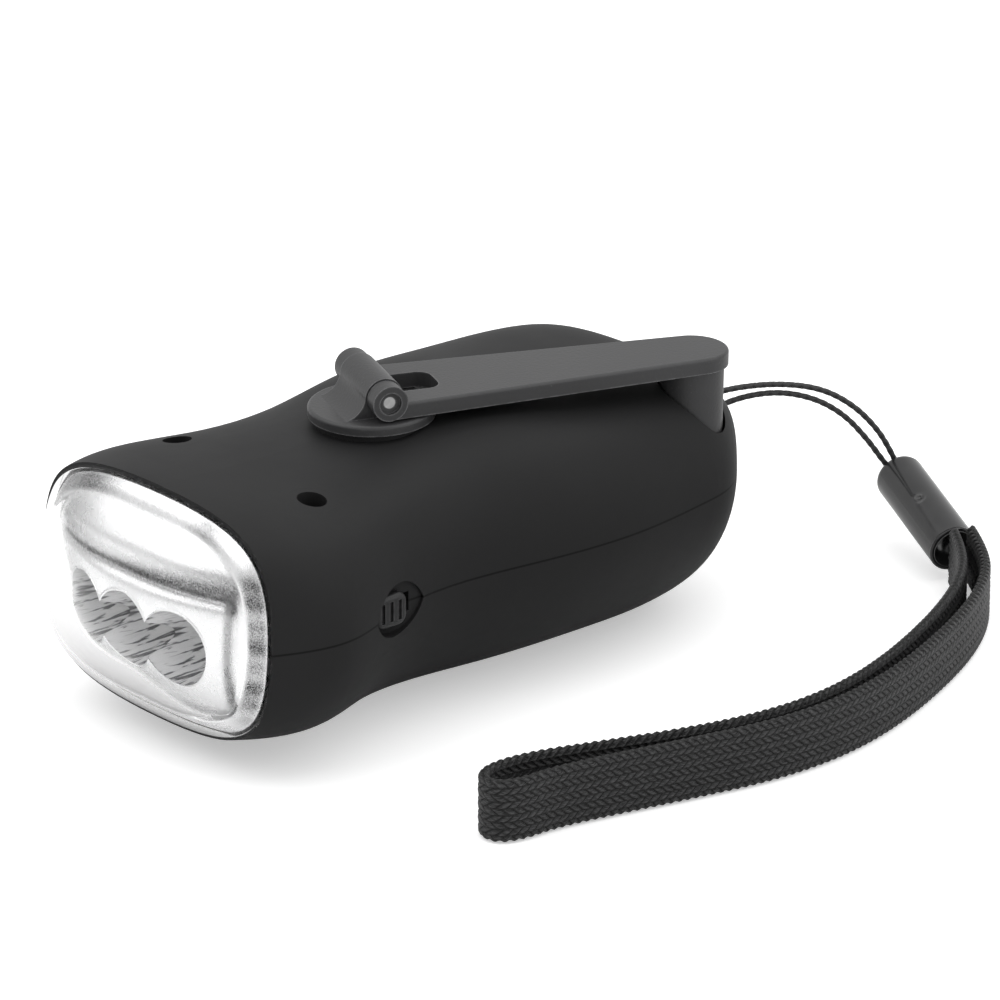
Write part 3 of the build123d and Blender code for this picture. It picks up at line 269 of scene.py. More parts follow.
def plastic(name, color, roughness, grain=0.00002, size=2500.0, spread=0.25, rub_and_highlight=0.0, dust=0.0):
    """Moulded plastic: grain in the surface, a slight drift of tone, pale edges that are rubbed
    wear and a painted edge highlight.
    """
    material, tree, shader = new_material(name, color, roughness)
    grains = group_node(tree, GRAIN, Grain_Size=size)
    darker = tuple(channel * (1 - spread) for channel in color)
    lighter = tuple(channel * (1 + spread) for channel in color)
    tone = mix_color(tree, grains.outputs["Drift"], (*darker, 1.0), (*lighter, 1.0))
    # pale edges: rubbed wear together with a painted edge highlight
    if rub_and_highlight:
        edges = group_node(tree, WORN_AND_LIT_EDGES)
        pale = tuple(min(1.0, channel * 4.5 + 0.04) for channel in color)
        amount = math_node(tree, "MULTIPLY", edges.outputs["Mask"], rub_and_highlight)
        tone = mix_color(tree, amount, tone, (*pale, 1.0))
    if dust:
        specks = group_node(tree, DUST)
        pale = tuple(min(1.0, channel * 2.4 + 0.01) for channel in color)
        amount = math_node(tree, "MULTIPLY", specks.outputs["Mask"], dust)
        tone = mix_color(tree, amount, tone, (*pale, 1.0))
    tree.links.new(tone, shader.inputs["Base Color"])
    rough = ramp(tree, grains.outputs["Drift"], 0.3, 0.7, roughness - 0.04, roughness + 0.04)
    tree.links.new(rough, shader.inputs["Roughness"])
    bump = node(
        tree,
        "ShaderNodeBump",
        {"Height": grains.outputs["Height"], "Distance": grain, "Strength": 1.0},
    )
    tree.links.new(bump.outputs[0], shader.inputs["Normal"])
    return material, tree, shader


def metal(name, color, roughness, scratches=700.0, strength=0.000006):
    """Plain metal with a fine uneven finish."""
    material, tree, shader = new_material(name, color, roughness, metallic=1.0)
    grains = group_node(tree, GRAIN, Grain_Size=scratches, Drift_Size=120.0)
    rough = ramp(tree, grains.outputs["Drift"], 0.3, 0.7, roughness - 0.06, roughness + 0.1)
    tree.links.new(rough, shader.inputs["Roughness"])
    bump = node(
        tree,
        "ShaderNodeBump",
        {"Height": grains.outputs["Height"], "Distance": strength, "Strength": 1.0},
    )
    tree.links.new(bump.outputs[0], shader.inputs["Normal"])
    return material


# ---------------------------------------------------------------- materials
PARTING_HEIGHT = 0.0216
SEAM_HALF_WIDTH = 0.00014

housing_black, tree, shader = plastic(
    "housing_black", (0.0125, 0.0125, 0.0128), 0.58, grain=0.000006, spread=0.03
)
height = node(
    tree, "ShaderNodeSeparateXYZ", {0: node(tree, "ShaderNodeTexCoord").outputs["Object"]}
).outputs["Z"]
apart = math_node(tree, "ABSOLUTE", math_node(tree, "SUBTRACT", height, PARTING_HEIGHT))
seam = ramp(tree, apart, 0.5 * SEAM_HALF_WIDTH, 1.6 * SEAM_HALF_WIDTH, 0.05, 1.0)
tone = shader.inputs["Base Color"].links[0].from_socket
shade = node(tree, "ShaderNodeCombineColor", {0: seam, 1: seam, 2: seam}).outputs[0]
tree.links.new(mix_color(tree, 1.0, tone, shade, "MULTIPLY"), shader.inputs["Base Color"])
shader.inputs["Specular IOR Level"].default_value = 0.14

# crank and button edges get rubbed wear plus a painted edge highlight
crank_grey, tree, shader = plastic(
    "crank_grey", (0.034, 0.034, 0.035), 0.42, grain=0.00003, size=2200.0, spread=0.35,
    rub_and_highlight=0.75, dust=0.35,
)
shader.inputs["Specular IOR Level"].default_value = 0.3
button_black, tree, shader = plastic(
    "button_black", (0.016, 0.016, 0.0165), 0.36, spread=0.1, rub_and_highlight=0.5
)
shader.inputs["Specular IOR Level"].default_value = 0.3
part_black = plastic("part_black", (0.02, 0.02, 0.02), 0.45)[0]
gear_white = plastic("gear_white", (0.78, 0.77, 0.73), 0.4, spread=0.05)[0]
board_green = plastic("board_green", (0.03, 0.16, 0.07), 0.35, size=900.0)[0]
magnet_dark = plastic("magnet_dark", (0.12, 0.12, 0.12), 0.6)[0]
screw_steel = metal("screw_steel", (0.5, 0.5, 0.5), 0.35)
pin_steel = metal("pin_steel", (0.38, 0.38, 0.38), 0.32, 1400.0, 0.00006)
switch_steel = metal("switch_steel", (0.55, 0.55, 0.55), 0.35)
cell_nickel = metal("cell_nickel", (0.62, 0.6, 0.56), 0.3)
core_steel = metal("core_steel", (0.3, 0.3, 0.31), 0.5)
copper_wire = metal("copper_wire", (0.65, 0.28, 0.12), 0.4, 300.0, 0.00005)

clear_lens, tree, shader = new_material("clear_lens", (1.0, 1.0, 1.0), 0.02)
shader.inputs["Transmission Weight"].default_value = 1.0
shader.inputs["IOR"].default_value = 1.08
shader.inputs["Specular IOR Level"].default_value = 0.15
soft = group_node(tree, GRAIN, Drift_Size=60.0)
rough = ramp(tree, soft.outputs["Drift"], 0.35, 0.65, 0.0, 0.02)
tree.links.new(rough, shader.inputs["Roughness"])

led_clear, tree, shader = new_material("led_clear", (0.97, 0.97, 0.95), 0.08)
shader.inputs["Transmission Weight"].default_value = 1.0
shader.inputs["IOR"].default_value = 1.25
soft = group_node(tree, GRAIN, Drift_Size=400.0)
rough = ramp(tree, soft.outputs["Drift"], 0.35, 0.65, 0.03, 0.12)
tree.links.new(rough, shader.inputs["Roughness"])

# Silver: tone is a value of the piece's points that paints reflections and shade into the colour,
# and a fine sparkle breaks the darker painted tones.
reflector_silver, tree, shader = new_material("reflector_silver", (0.66, 0.66, 0.665), 0.24, 1.0)
grains = group_node(tree, GRAIN, Grain_Size=5500.0, Drift_Size=500.0)
# tone: painted reflections and painted shade, 1 where the silver is plain
tone = node(tree, "ShaderNodeAttribute", attribute_name="tone").outputs["Fac"]
sparkle = ramp(tree, grains.outputs["Height"], 0.32, 0.68, -0.3, 0.3)
depth = math_node(tree, "SUBTRACT", 1.0, tone)
broken = math_node(tree, "ADD", tone, math_node(tree, "MULTIPLY", sparkle, depth), clamp=True)
silver_painted_reflection_colour = mix_color(tree, broken, (0.03, 0.03, 0.031, 1.0), (0.7, 0.7, 0.705, 1.0))
tree.links.new(silver_painted_reflection_colour, shader.inputs["Base Color"])
rough = ramp(tree, grains.outputs["Drift"], 0.3, 0.7, 0.22, 0.32)
tree.links.new(rough, shader.inputs["Roughness"])
bump = node(tree, "ShaderNodeBump", {"Height": grains.outputs["Height"], "Distance": 0.00003})
tree.links.new(bump.outputs[0], shader.inputs["Normal"])

# Cups: streaks run down the cone, dark ones painted into the colour as reflections and also raised
# as bumps; round is the angle and fall is the height on the cone.
cup_silver, tree, shader = new_material("cup_silver", (0.9, 0.9, 0.905), 0.12, 0.45)
place = node(tree, "ShaderNodeUVMap", uv_map="cone").outputs[0]
streaks = node(
    tree,
    "ShaderNodeTexNoise",
    {"Vector": node(tree, "ShaderNodeMapping", {0: place, 3: (1.8, 0.2, 1.0)}).outputs[0],
     "Scale": 1.0, "Detail": 4.0, "Distortion": 0.5},
)
line = ramp(tree, streaks.outputs["Fac"], 0.4, 0.5)
# dark streaks in the colour are painted reflections
painted_reflection_streaks = mix_color(tree, line, (0.2, 0.2, 0.205, 1.0), (0.97, 0.97, 0.975, 1.0))
tree.links.new(painted_reflection_streaks, shader.inputs["Base Color"])
bump = node(tree, "ShaderNodeBump", {"Height": streaks.outputs["Fac"], "Distance": 0.0004})
tree.links.new(bump.outputs[0], shader.inputs["Normal"])

ferrule_black, tree, shader = new_material("ferrule_black", (0.012, 0.012, 0.0125), 0.16)
grains = group_node(tree, GRAIN, Drift_Size=300.0)
rough = ramp(tree, grains.outputs["Drift"], 0.3, 0.7, 0.12, 0.22)
tree.links.new(rough, shader.inputs["Roughness"])

THREAD_DARK = (0.004, 0.004, 0.0042, 1.0)
THREAD_LIGHT = (0.06, 0.06, 0.061, 1.0)
# painted shade for the hollows between strands and plaits
THREAD_HOLLOW_SHADE = (0.0012, 0.0012, 0.0012, 1.0)


def thread_finish(shader):
    """The dull shine that both cords share."""
    shader.inputs["Specular IOR Level"].default_value = 0.3
    shader.inputs["Sheen Weight"].default_value = 0.05
    shader.inputs["Sheen Roughness"].default_value = 0.4


# String: fine fibres follow its own UV, and painted shade in the hollows between strands is a
# value of its points.
string_black, tree, shader = new_material("string_black", (0.02, 0.02, 0.02), 0.6)
across = node(tree, "ShaderNodeUVMap", uv_map="yarn").outputs[0]
fibres = node(
    tree,
    "ShaderNodeTexNoise",
    {"Vector": node(tree, "ShaderNodeMapping", {0: across, 3: (1.0, 14.0, 1.0)}).outputs[0],
     "Scale": 3.0, "Detail": 3.0},
)
tone = mix_color(tree, ramp(tree, fibres.outputs["Fac"], 0.3, 0.72), THREAD_DARK, THREAD_LIGHT)
hollow = node(tree, "ShaderNodeAttribute", attribute_name="hollow").outputs["Fac"]
# painted shade in the hollows between the strands
tone = mix_color(tree, hollow, tone, THREAD_HOLLOW_SHADE)
tree.links.new(tone, shader.inputs["Base Color"])
thread_finish(shader)

strap_black, tree, shader = new_material("strap_black", (0.02, 0.02, 0.02), 0.5)
plaits = group_node(tree, BRAID)
tone = mix_color(tree, ramp(tree, plaits.outputs["Fibre"], 0.35, 0.65), THREAD_DARK, THREAD_LIGHT)
# painted shade in the hollows between the plaits
tone = mix_color(tree, plaits.outputs["Hollow Shade"], tone, THREAD_HOLLOW_SHADE)
tree.links.new(tone, shader.inputs["Base Color"])
relief = math_node(tree, "MULTIPLY_ADD", plaits.outputs["Fibre"], 0.22, plaits.outputs["Height"])
bump = node(tree, "ShaderNodeBump", {"Height": relief, "Distance": 0.0006})
tree.links.new(bump.outputs[0], shader.inputs["Normal"])
thread_finish(shader)

SLOT_MATERIALS = {
    "housing_black": housing_black, "clear_lens": clear_lens, "led_clear": led_clear,
    "reflector_silver": reflector_silver, "board_green": board_green,
    "switch_steel": switch_steel, "part_black": part_black, "cell_nickel": cell_nickel,
    "screw_steel": screw_steel, "gear_white": gear_white, "core_steel": core_steel,
    "copper_wire": copper_wire, "strap_black": strap_black, "ferrule_black": ferrule_black,
    "crank_grey": crank_grey, "pin_steel": pin_steel, "button_black": button_black,
    "magnet_dark": magnet_dark,
}
for row in frame["record"]["subparts"]:
    mesh = nodes[row["node"]].data
    mesh.materials.clear()
    mesh.materials.append(SLOT_MATERIALS[row["material_slot"]])


# ---------------------------------------------------------------- mesh helpers
def lattice(rows, columns, wrap_rows=False, wrap_columns=True):
    """Quads between neighbouring points of a grid, closed round either way if asked."""
    row = np.arange(rows if wrap_rows else rows - 1)
    column = np.arange(columns if wrap_columns else columns - 1)
    row, column = np.meshgrid(row, column, indexing="ij")
    next_row, next_column = (row + 1) % rows, (column + 1) % columns
    corners = (
        row * columns + column,
        row * columns + next_column,
        next_row * columns + next_column,
        next_row * columns + column,
    )
    return np.stack(corners, axis=-1).reshape(-1, 4)


def add_piece(name, points, faces, material, body="housing", slot=None, flip=False):
    """A smooth mesh piece from points (N, 3) and a list of quads or longer faces."""
    faces = [list(map(int, face)) for face in faces]
    if flip:
        faces = [face[::-1] for face in faces]
    mesh = bpy.data.meshes.new(name)
    mesh.from_pydata(points.reshape(-1, 3).tolist(), [], faces)
    mesh.materials.append(material)
    mesh.polygons.foreach_set("use_smooth", [True] * len(mesh.polygons))
    mesh.update()
    piece = bpy.data.objects.new(name, mesh)
    bpy.context.scene.collection.objects.link(piece)
    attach(piece, body)
    return piece


def rings_piece(name, rings, material, flip=False, caps=(True, True), **words):
    """A closed skin through rings of points (rings, around, 3), with flat caps."""
    rows, columns = rings.shape[:2]
    faces = lattice(rows, columns).tolist()
    if caps[0]:
        faces.append(list(range(columns))[::-1])
    if caps[1]:
        faces.append([(rows - 1) * columns + index for index in range(columns)])
    return add_piece(name, rings, faces, material, flip=flip, **words)


# ---------------------------------------------------------------- front
FRONT_Y = -49.07
FRONT_HEIGHT = 21.7
FRONT_TILT = radians(2.8)
LENS_HALF = (25.05, 16.95)
LENS_SQUARENESS = 0.80
LENS_POWER = 3.1  # the power of the rounded outline that fits this squareness
LENS_BORDER = 3.0
LENS_RISE = 2.3
LENS_DOME = 5.8
LENS_WALL = 0.35
BORDER_BULGE = 0.16  # of the sloping border, as a share of its rise
BORDER_SHIFT = 0.35  # how far the crease moves in for each mm of drop
LENS_ROLL = 0.35  # depth of the roll inside the crease
ROLL_WIDTH = 0.045  # as a share of the dome
LENS_SEAT = 0.05  # the lens and the silver lie this far out of the front plane
AROUND = 240


def on_front(u, v, w):
    """Points of the front plane's own frame in mm, turned into the row frame in metres."""
    w = w + LENS_SEAT
    y = FRONT_Y - w * cos(FRONT_TILT) + v * sin(FRONT_TILT)
    z = FRONT_HEIGHT + w * sin(FRONT_TILT) + v * cos(FRONT_TILT)
    return np.stack([u, y, z], axis=-1) * MM


def front_outline(inset, share=1.0):
    """The lens's outline: four cubic curves whose handles reach a share of each half size."""
    t = np.linspace(0, 1, AROUND // 4, endpoint=False)
    q = LENS_SQUARENESS
    along = (1 - t) ** 3 + 3 * (1 - t) ** 2 * t + 3 * (1 - t) * t**2 * q
    across = 3 * (1 - t) ** 2 * t * q + 3 * (1 - t) * t**2 + t**3
    u = np.concatenate([along, -across, -along, across]) * share * (LENS_HALF[0] - inset)
    v = np.concatenate([across, along, -across, -along]) * share * (LENS_HALF[1] - inset)
    return u, v


def dome(u, v, border):
    """Height over the border: the dome's own height less the square of the distance out, which
    is measured by a rounded square's rule and is 1 at the border."""
    out = abs(u / (LENS_HALF[0] - border)) ** LENS_POWER
    out = out + abs(v / (LENS_HALF[1] - border)) ** LENS_POWER
    return LENS_DOME * (1 - np.minimum(out, 1) ** (2 / LENS_POWER))


def border_rings(drop, steps):
    """Rings of the sloping border, from its rolled edge to its crease."""
    border = LENS_BORDER + BORDER_SHIFT * drop
    rings = []
    for t in np.linspace(0, 1, steps):
        u, v = front_outline(drop + (border - drop) * t)
        rise = (LENS_RISE - drop) * (t + BORDER_BULGE * sin(pi * t))
        rings.append(on_front(u, v, rise + 0 * u))
    return rings


def dome_rings(drop, steps):
    """Rings of the dome inside the border, down to a small one at its crown. A shallow roll
    runs just inside the crease."""
    border = LENS_BORDER + BORDER_SHIFT * drop
    rings = []
    for share in np.linspace(1, 0.01, steps)[1:]:
        u, v = front_outline(border, share)
        roll = LENS_ROLL * np.exp(-(((1 - share) / ROLL_WIDTH) ** 2))
        rings.append(on_front(u, v, LENS_RISE - drop + dome(u, v, border) - roll))
    return rings


outer = border_rings(0.0, 8) + dome_rings(0.0, 40)
inner = border_rings(LENS_WALL, 8) + dome_rings(LENS_WALL, 40)
skin = np.stack(outer[::-1] + inner)
lens = rings_piece("front_lens", skin, clear_lens)
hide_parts("lens")

# ---------------------------------------------------------------- reflector
CUP_SPACING = 9.9
CUP_V = -2.9
CUP_FLOOR = -7.0
CUP_FLOOR_RADIUS = 4.0
CUP_SLOPE = (5.9 - CUP_FLOOR_RADIUS) / (LENS_RISE + LENS_DOME - CUP_FLOOR)
RIDGE_U = CUP_SPACING / 2
REFLECTOR_DROP = 0.45
REFLECTOR_BORDER = LENS_BORDER + BORDER_SHIFT * REFLECTOR_DROP
BROW_TOP = 9.9
BROW_FOOT = 5.4
BROW_DEPTH = 1.3
SILVER_ROLL = 0.1
SILVER_DEPTH = 8.0
BEAD_HEIGHT = 0.16  # of the bead round the cups' rim
BEAD_PLACE = 0.22
BEAD_WIDTH = 0.14
RIM_STEPS = 40


def smooth(low, high, value):
    """Smooth step from 0 to 1 between two values."""
    t = np.clip((value - low) / (high - low), 0, 1)
    return t * t * (3 - 2 * t)


def silver_height(u, v):
    """The silver front's height: the dome, less a step under a brow that fades at both sides,
    and a narrow crease along the brow's foot."""
    base = LENS_RISE - REFLECTOR_DROP + dome(u, v, REFLECTOR_BORDER)
    fade = 1 - smooth(0.8, 1.0, np.maximum(abs(u) / 21.0, abs(v + 1.5) / 14.8))
    step = 1 - smooth(BROW_FOOT, BROW_TOP, v)
    crease = np.exp(-(((v - BROW_FOOT) / 0.8) ** 2))
    return base - fade * (BROW_DEPTH * step + 0.45 * crease)


def cup_top(middle, angle):
    """Where each ray of a cup's cone meets the silver front, found by repeated steps."""
    w = 4.0 + 0 * angle
    for _ in range(30):
        radius = CUP_FLOOR_RADIUS + CUP_SLOPE * (w - CUP_FLOOR)
        u = middle + radius * np.cos(angle)
        v = CUP_V + radius * np.sin(angle)
        w = 0.5 * w + 0.5 * silver_height(u, v)
    return u, v, w


def meeting_angle(side):
    """Angle at which the middle cup's rim crosses the ridge, above or below the row."""
    low, high = (0.05, 1.5)
    for _ in range(40):
        angle = (low + high) / 2
        u = cup_top(0.0, np.array([side * angle]))[0][0]
        low, high = (low, angle) if u < RIDGE_U else (angle, high)
    return side * (low + high) / 2


def rim_loop():
    """The three cups' common rim as one closed loop, counterclockwise from the right."""
    upper, lower = meeting_angle(1), -meeting_angle(-1)
    arcs = [
        (1, -(pi - lower), pi - upper, 6 * RIM_STEPS),
        (0, upper, pi - upper, 3 * RIM_STEPS),
        (-1, upper, 2 * pi - lower, 6 * RIM_STEPS),
        (0, pi + lower, 2 * pi - lower, 3 * RIM_STEPS),
    ]
    parts = []
    for place, start, end, count in arcs:
        angle = np.linspace(start, end, count, endpoint=False)
        parts.append(np.stack(cup_top(place * CUP_SPACING, angle)))
    return np.concatenate(parts, axis=1)


def evenly(curve, count, start=0.0):
    """A closed curve (2, N) given again as points at even distances, from a share of it on."""
    closed = np.concatenate([curve, curve[:, :1]], axis=1)
    run = np.concatenate([[0], np.cumsum(np.hypot(*np.diff(closed, axis=1)))])
    at = ((np.arange(count) / count + start) % 1) * run[-1]
    return np.stack([np.interp(at, run, row) for row in closed])


def patch(value, middle, half):
    """1 at the middle of a stretch, falling smoothly to 0 at its ends."""
    return np.exp(-(((value - middle) / half) ** 2))


def border_painted_reflection(u, v):
    """Painted reflections on the sloping border: dark on the right side and in two stretches of
    the top, and darker towards the left.
    """
    waves = 0.12 * np.sin(0.9 * v + 0.6) + 0.1 * np.sin(2.1 * v)
    right = smooth(17, 22, u) * smooth(-15, -9, v) * (1 - smooth(9, 13, v)) * (0.66 + waves)
    top = smooth(8, 13, v) * (0.6 * patch(u, -12.5, 5.0) + 0.5 * patch(u, 12.0, 3.5))
    left = 0.42 * smooth(-8, -22, u)
    return 1 - np.clip(right + top + left, 0, 0.9)


def plate_painted_reflection_and_shade(u, v):
    """Painted reflection and painted shade inside the border: a dark wedge under the brow that
    widens to the right, and darker towards the left and the bottom.
    """
    along = np.clip((u + 18) / 36, 0, 1)
    ends = smooth(-20, -15, u) * (1 - smooth(19.5, 21.5, u))
    wedge = patch(v, BROW_FOOT + 0.4 + 1.5 * along**2, 0.55 + 2.2 * along**2)
    left = 0.34 * smooth(-4, -20, u)
    low = 0.14 * (1 - smooth(-12, -2, v))
    return 1 - np.clip(0.78 * wedge * ends + left + low, 0, 0.9)


def silver_front():
    """The silver front from its border to the cups' rim: straight lines across, in plan, from
    each point of the border to the point as far round the rim, at the silver front's height.
    Gives the rings of points and the tone of each point, which is painted reflection and painted
    shade."""
    rim = rim_loop()
    middle = np.argmin(abs(rim[1] - CUP_V) - rim[0])
    rim = np.roll(rim, -middle, axis=1)
    count = rim.shape[1]
    edge = np.array(front_outline(REFLECTOR_BORDER))
    edge = evenly(edge, count)
    skins, painted_reflection_tones = [], []
    for drop_share in np.linspace(0, 1, 9)[:-1]:
        inset = REFLECTOR_DROP + (REFLECTOR_BORDER - REFLECTOR_DROP) * drop_share
        u, v = evenly(np.array(front_outline(inset)), count)
        bulge = BORDER_BULGE * sin(pi * drop_share)
        rise = (LENS_RISE - REFLECTOR_DROP) * (drop_share + bulge)
        skins.append(on_front(u, v, rise + 0 * u))
        edges = smooth(0, 0.2, drop_share) * (1 - smooth(0.8, 1, drop_share))
        # painted reflections on the sloping border
        painted_reflection_tones.append(1 - edges * (1 - border_painted_reflection(u, v)))
    for share in np.linspace(0, 1, 64) ** 0.8:
        u, v = (1 - share) * edge + share * rim[:2]
        near = np.hypot(u - rim[0], v - rim[1])
        bead = BEAD_HEIGHT * np.exp(-(((near - BEAD_PLACE) / BEAD_WIDTH) ** 2)) * (share > 0.5)
        w = silver_height(u, v) + bead
        roll = SILVER_ROLL * np.exp(-((share / ROLL_WIDTH) ** 2)) * (share > 0)
        skins.append(on_front(u, v, w - roll))
        # painted reflections and painted shade under the brow, inside the border
        painted_reflection_tones.append(1 - (1 - plate_painted_reflection_and_shade(u, v)) * smooth(0.0, 0.04, share))
    back_u, back_v = evenly(np.array(front_outline(3.6)), count)
    deep_u, deep_v = evenly(np.array(front_outline(6.6)), count)
    deep = on_front(deep_u, deep_v, 0 * deep_u - SILVER_DEPTH)
    back = [deep, on_front(back_u, back_v, 0 * back_u)]
    return np.stack(back + skins), np.stack([painted_reflection_tones[0], painted_reflection_tones[0]] + painted_reflection_tones)


def add_uv(piece, name, values):
    """Writes a UV map with one pair for each point of a piece."""
    mesh = piece.data
    corner = np.empty(len(mesh.loops), np.int32)
    mesh.loops.foreach_get("vertex_index", corner)
    layer = mesh.uv_layers.new(name=name)
    layer.data.foreach_set("uv", values.reshape(-1, 2)[corner].ravel())


def add_value(piece, name, values):
    """Writes one value for each point of a piece, for its material to read."""
    layer = piece.data.attributes.new(name, "FLOAT", "POINT")
    layer.data.foreach_set("value", np.ascontiguousarray(values, float).ravel())


silver, silver_painted_reflections = silver_front()
reflector = rings_piece("front_reflector", silver, reflector_silver, caps=(True, False))
# the tone values are painted reflections and painted shade
add_value(reflector, "tone", silver_painted_reflections)
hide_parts("reflector")


def cup_piece(place):
    """One cup: a rounded floor, then the cone up to the rim or to the ridge with its
    neighbour, whichever is lower."""
    angle = np.linspace(0, 2 * pi, 180, endpoint=False)
    middle = place * CUP_SPACING
    top = cup_top(middle, angle)[2]
    toward = np.cos(angle)
    for side in (-1, 1):
        if -1 <= place + side <= 1:
            reach = RIDGE_U / np.maximum(side * toward, 1e-6)
            ridge = CUP_FLOOR + (reach - CUP_FLOOR_RADIUS) / CUP_SLOPE
            top = np.where(side * toward > 0, np.minimum(top, ridge), top)
    rings = []
    for share in np.linspace(0.02, 1, 12):
        radius = CUP_FLOOR_RADIUS * share
        sag = CUP_FLOOR - 0.6 + 0.9 * share**4
        rings.append((radius + 0 * angle, sag + 0 * angle))
    for share in np.linspace(0, 1, 40):
        w = CUP_FLOOR + 0.3 + share * (top - CUP_FLOOR - 0.3)
        rings.append((CUP_FLOOR_RADIUS + CUP_SLOPE * (w - CUP_FLOOR), w))
    skin = np.stack(
        [on_front(middle + r * np.cos(angle), CUP_V + r * np.sin(angle), w) for r, w in rings]
    )
    name = ("left_cup", "middle_cup", "right_cup")[place + 1]
    cup = rings_piece(name, skin, cup_silver, caps=(True, False), slot="reflector_silver")
    heights = np.stack([w for _, w in rings])
    add_uv(cup, "cone", np.stack([0 * heights + 4 * abs(angle - pi), heights], axis=-1))
    return cup


for place in (-1, 0, 1):
    cup_piece(place)

# ---------------------------------------------------------------- LEDs
LED_BASE = -10.8
LED_LENGTH = 7.5
LED_TIP = LED_BASE + LED_LENGTH


def turned(profile, middle, count=48):
    """A solid turned about a line out of the front plane, from (radius, height) points."""
    angle = np.linspace(0, 2 * pi, count, endpoint=False)
    return np.stack(
        [
            on_front(middle + r * np.cos(angle), CUP_V + r * np.sin(angle), w + 0 * angle)
            for r, w in profile
        ]
    )


def led_profile():
    """Flange, straight body and a dome that is a quarter ellipse."""
    t = np.linspace(0, pi / 2, 14)
    flange = [(2.9, LED_BASE), (2.9, LED_BASE + 0.9), (2.8, LED_BASE + 1.0), (2.5, LED_BASE + 1.0)]
    domed = [(2.5 * cos(a) + 0.01, LED_TIP - 2.4 + 2.4 * sin(a)) for a in t]
    return flange + domed


def leads_profile():
    """Post with the little cup that holds the chip."""
    return [
        (0.35, LED_BASE), (0.35, LED_BASE + 3.0), (0.9, LED_BASE + 3.6), (1.0, LED_BASE + 4.2),
        (0.85, LED_BASE + 4.2), (0.4, LED_BASE + 3.8), (0.02, LED_BASE + 3.8),
    ]


for place, name in zip((-1, 0, 1), ("left", "middle", "right")):
    led = rings_piece(f"led_{name}_body", turned(led_profile(), place * CUP_SPACING), led_clear)
    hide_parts(f"led_{name}")
    rings_piece(
        f"led_{name}_post", turned(leads_profile(), place * CUP_SPACING), switch_steel
    )

# ---------------------------------------------------------------- ferrule
FERRULE_TOP = np.array((13.9, 82.0, 9.4))
FERRULE_MOUTH = np.array((33.0, 75.0, 5.1))
FERRULE_RADIUS = 3.7
DIMPLE_PLACE = 11.2
DIMPLE_ANGLE = radians(62)


def ferrule_profile(length):
    """Outer and inner line of the ferrule as (radius, distance from its top)."""
    t = np.linspace(0, pi / 2, 12)
    shoulder = [(2.4 + 1.3 * sin(a), 1.3 - 1.3 * cos(a)) for a in t]
    straight = [(FERRULE_RADIUS, d) for d in np.linspace(1.3, length - 0.3, 90)[1:]]
    lip = [(3.4 + 0.3 * cos(a), length - 0.3 + 0.3 * sin(a)) for a in t[::3]]
    bore = [(3.05, length), (3.0, length - 0.1), (3.0, length - 4.0), (0.05, length - 4.0)]
    hole = [(0.05, 3.0), (2.25, 3.0), (2.25, 0.1), (2.3, 0.0)]
    return hole + shoulder + straight + lip + bore


def ferrule_rings():
    """Turned about the ferrule's axis, with a dimple pressed into its side."""
    axis = FERRULE_MOUTH - FERRULE_TOP
    length = float(np.linalg.norm(axis))
    axis = axis / length
    side = np.cross(axis, (0, 0, 1))
    side = side / np.linalg.norm(side)
    up = np.cross(side, axis)
    profile = np.array(ferrule_profile(length))
    angle = np.linspace(0, 2 * pi, 120, endpoint=False)
    radius, along = profile[:, :1], profile[:, 1:]
    away = np.hypot((angle - DIMPLE_ANGLE)[None] * FERRULE_RADIUS, along - DIMPLE_PLACE)
    pressed = np.where(
        radius > 3.6,
        0.35 * np.exp(-((away / 0.4) ** 2)) - 0.08 * np.exp(-(((away - 0.75) / 0.2) ** 2)),
        0,
    )
    around = (radius - pressed)[..., None] * (
        np.cos(angle)[:, None] * side + np.sin(angle)[:, None] * up
    )
    return (FERRULE_TOP + along[..., None] * axis + around) * MM


ferrule = rings_piece("wrist_ferrule", ferrule_rings(), ferrule_black)
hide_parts("strap_ferrule")

# ---------------------------------------------------------------- strap routes
STRING_ROUTE = [
    (14.3, 82.3, 9.8), (13.3, 81.2, 13.1), (12.5, 78.9, 17.2), (10.9, 75.4, 21.4),
    (8.6, 70.8, 24.6), (5.7, 64.6, 26.1), (2.7, 57.8, 26.2), (0.3, 52.0, 25.0),
    (0.0, 47.25, 24.4), (0.0, 47.25, 21.0), (0.3, 52.0, 21.5), (2.6, 57.8, 24.3),
    (5.5, 64.2, 24.9), (8.1, 69.8, 23.2), (10.2, 74.2, 20.0), (11.8, 77.6, 15.6),
    (12.8, 79.9, 11.9), (13.7, 81.6, 9.3),
]
WEBBING_ROUTE = [
    (34.4, 73.6), (40.6, 69.3), (46.9, 62.4), (52.0, 54.0), (56.4, 44.6), (60.2, 34.8),
    (62.9, 25.0), (63.9, 15.4), (62.9, 5.6), (60.0, -4.6), (56.0, -14.8), (51.8, -25.2),
    (50.9, -31.6), (52.2, -35.2), (55.6, -35.6), (57.3, -32.4), (57.6, -26.0), (60.1, -16.4),
    (63.1, -5.6), (66.0, 5.6), (66.9, 16.0), (65.9, 26.0), (63.2, 36.2), (59.4, 46.4),
    (55.0, 56.0), (49.6, 64.6), (43.2, 71.4), (35.4, 76.2),
]
STRING_WIDTH = 0.9
WEBBING_WIDTH = 9.4
WEBBING_THICKNESS = 1.5


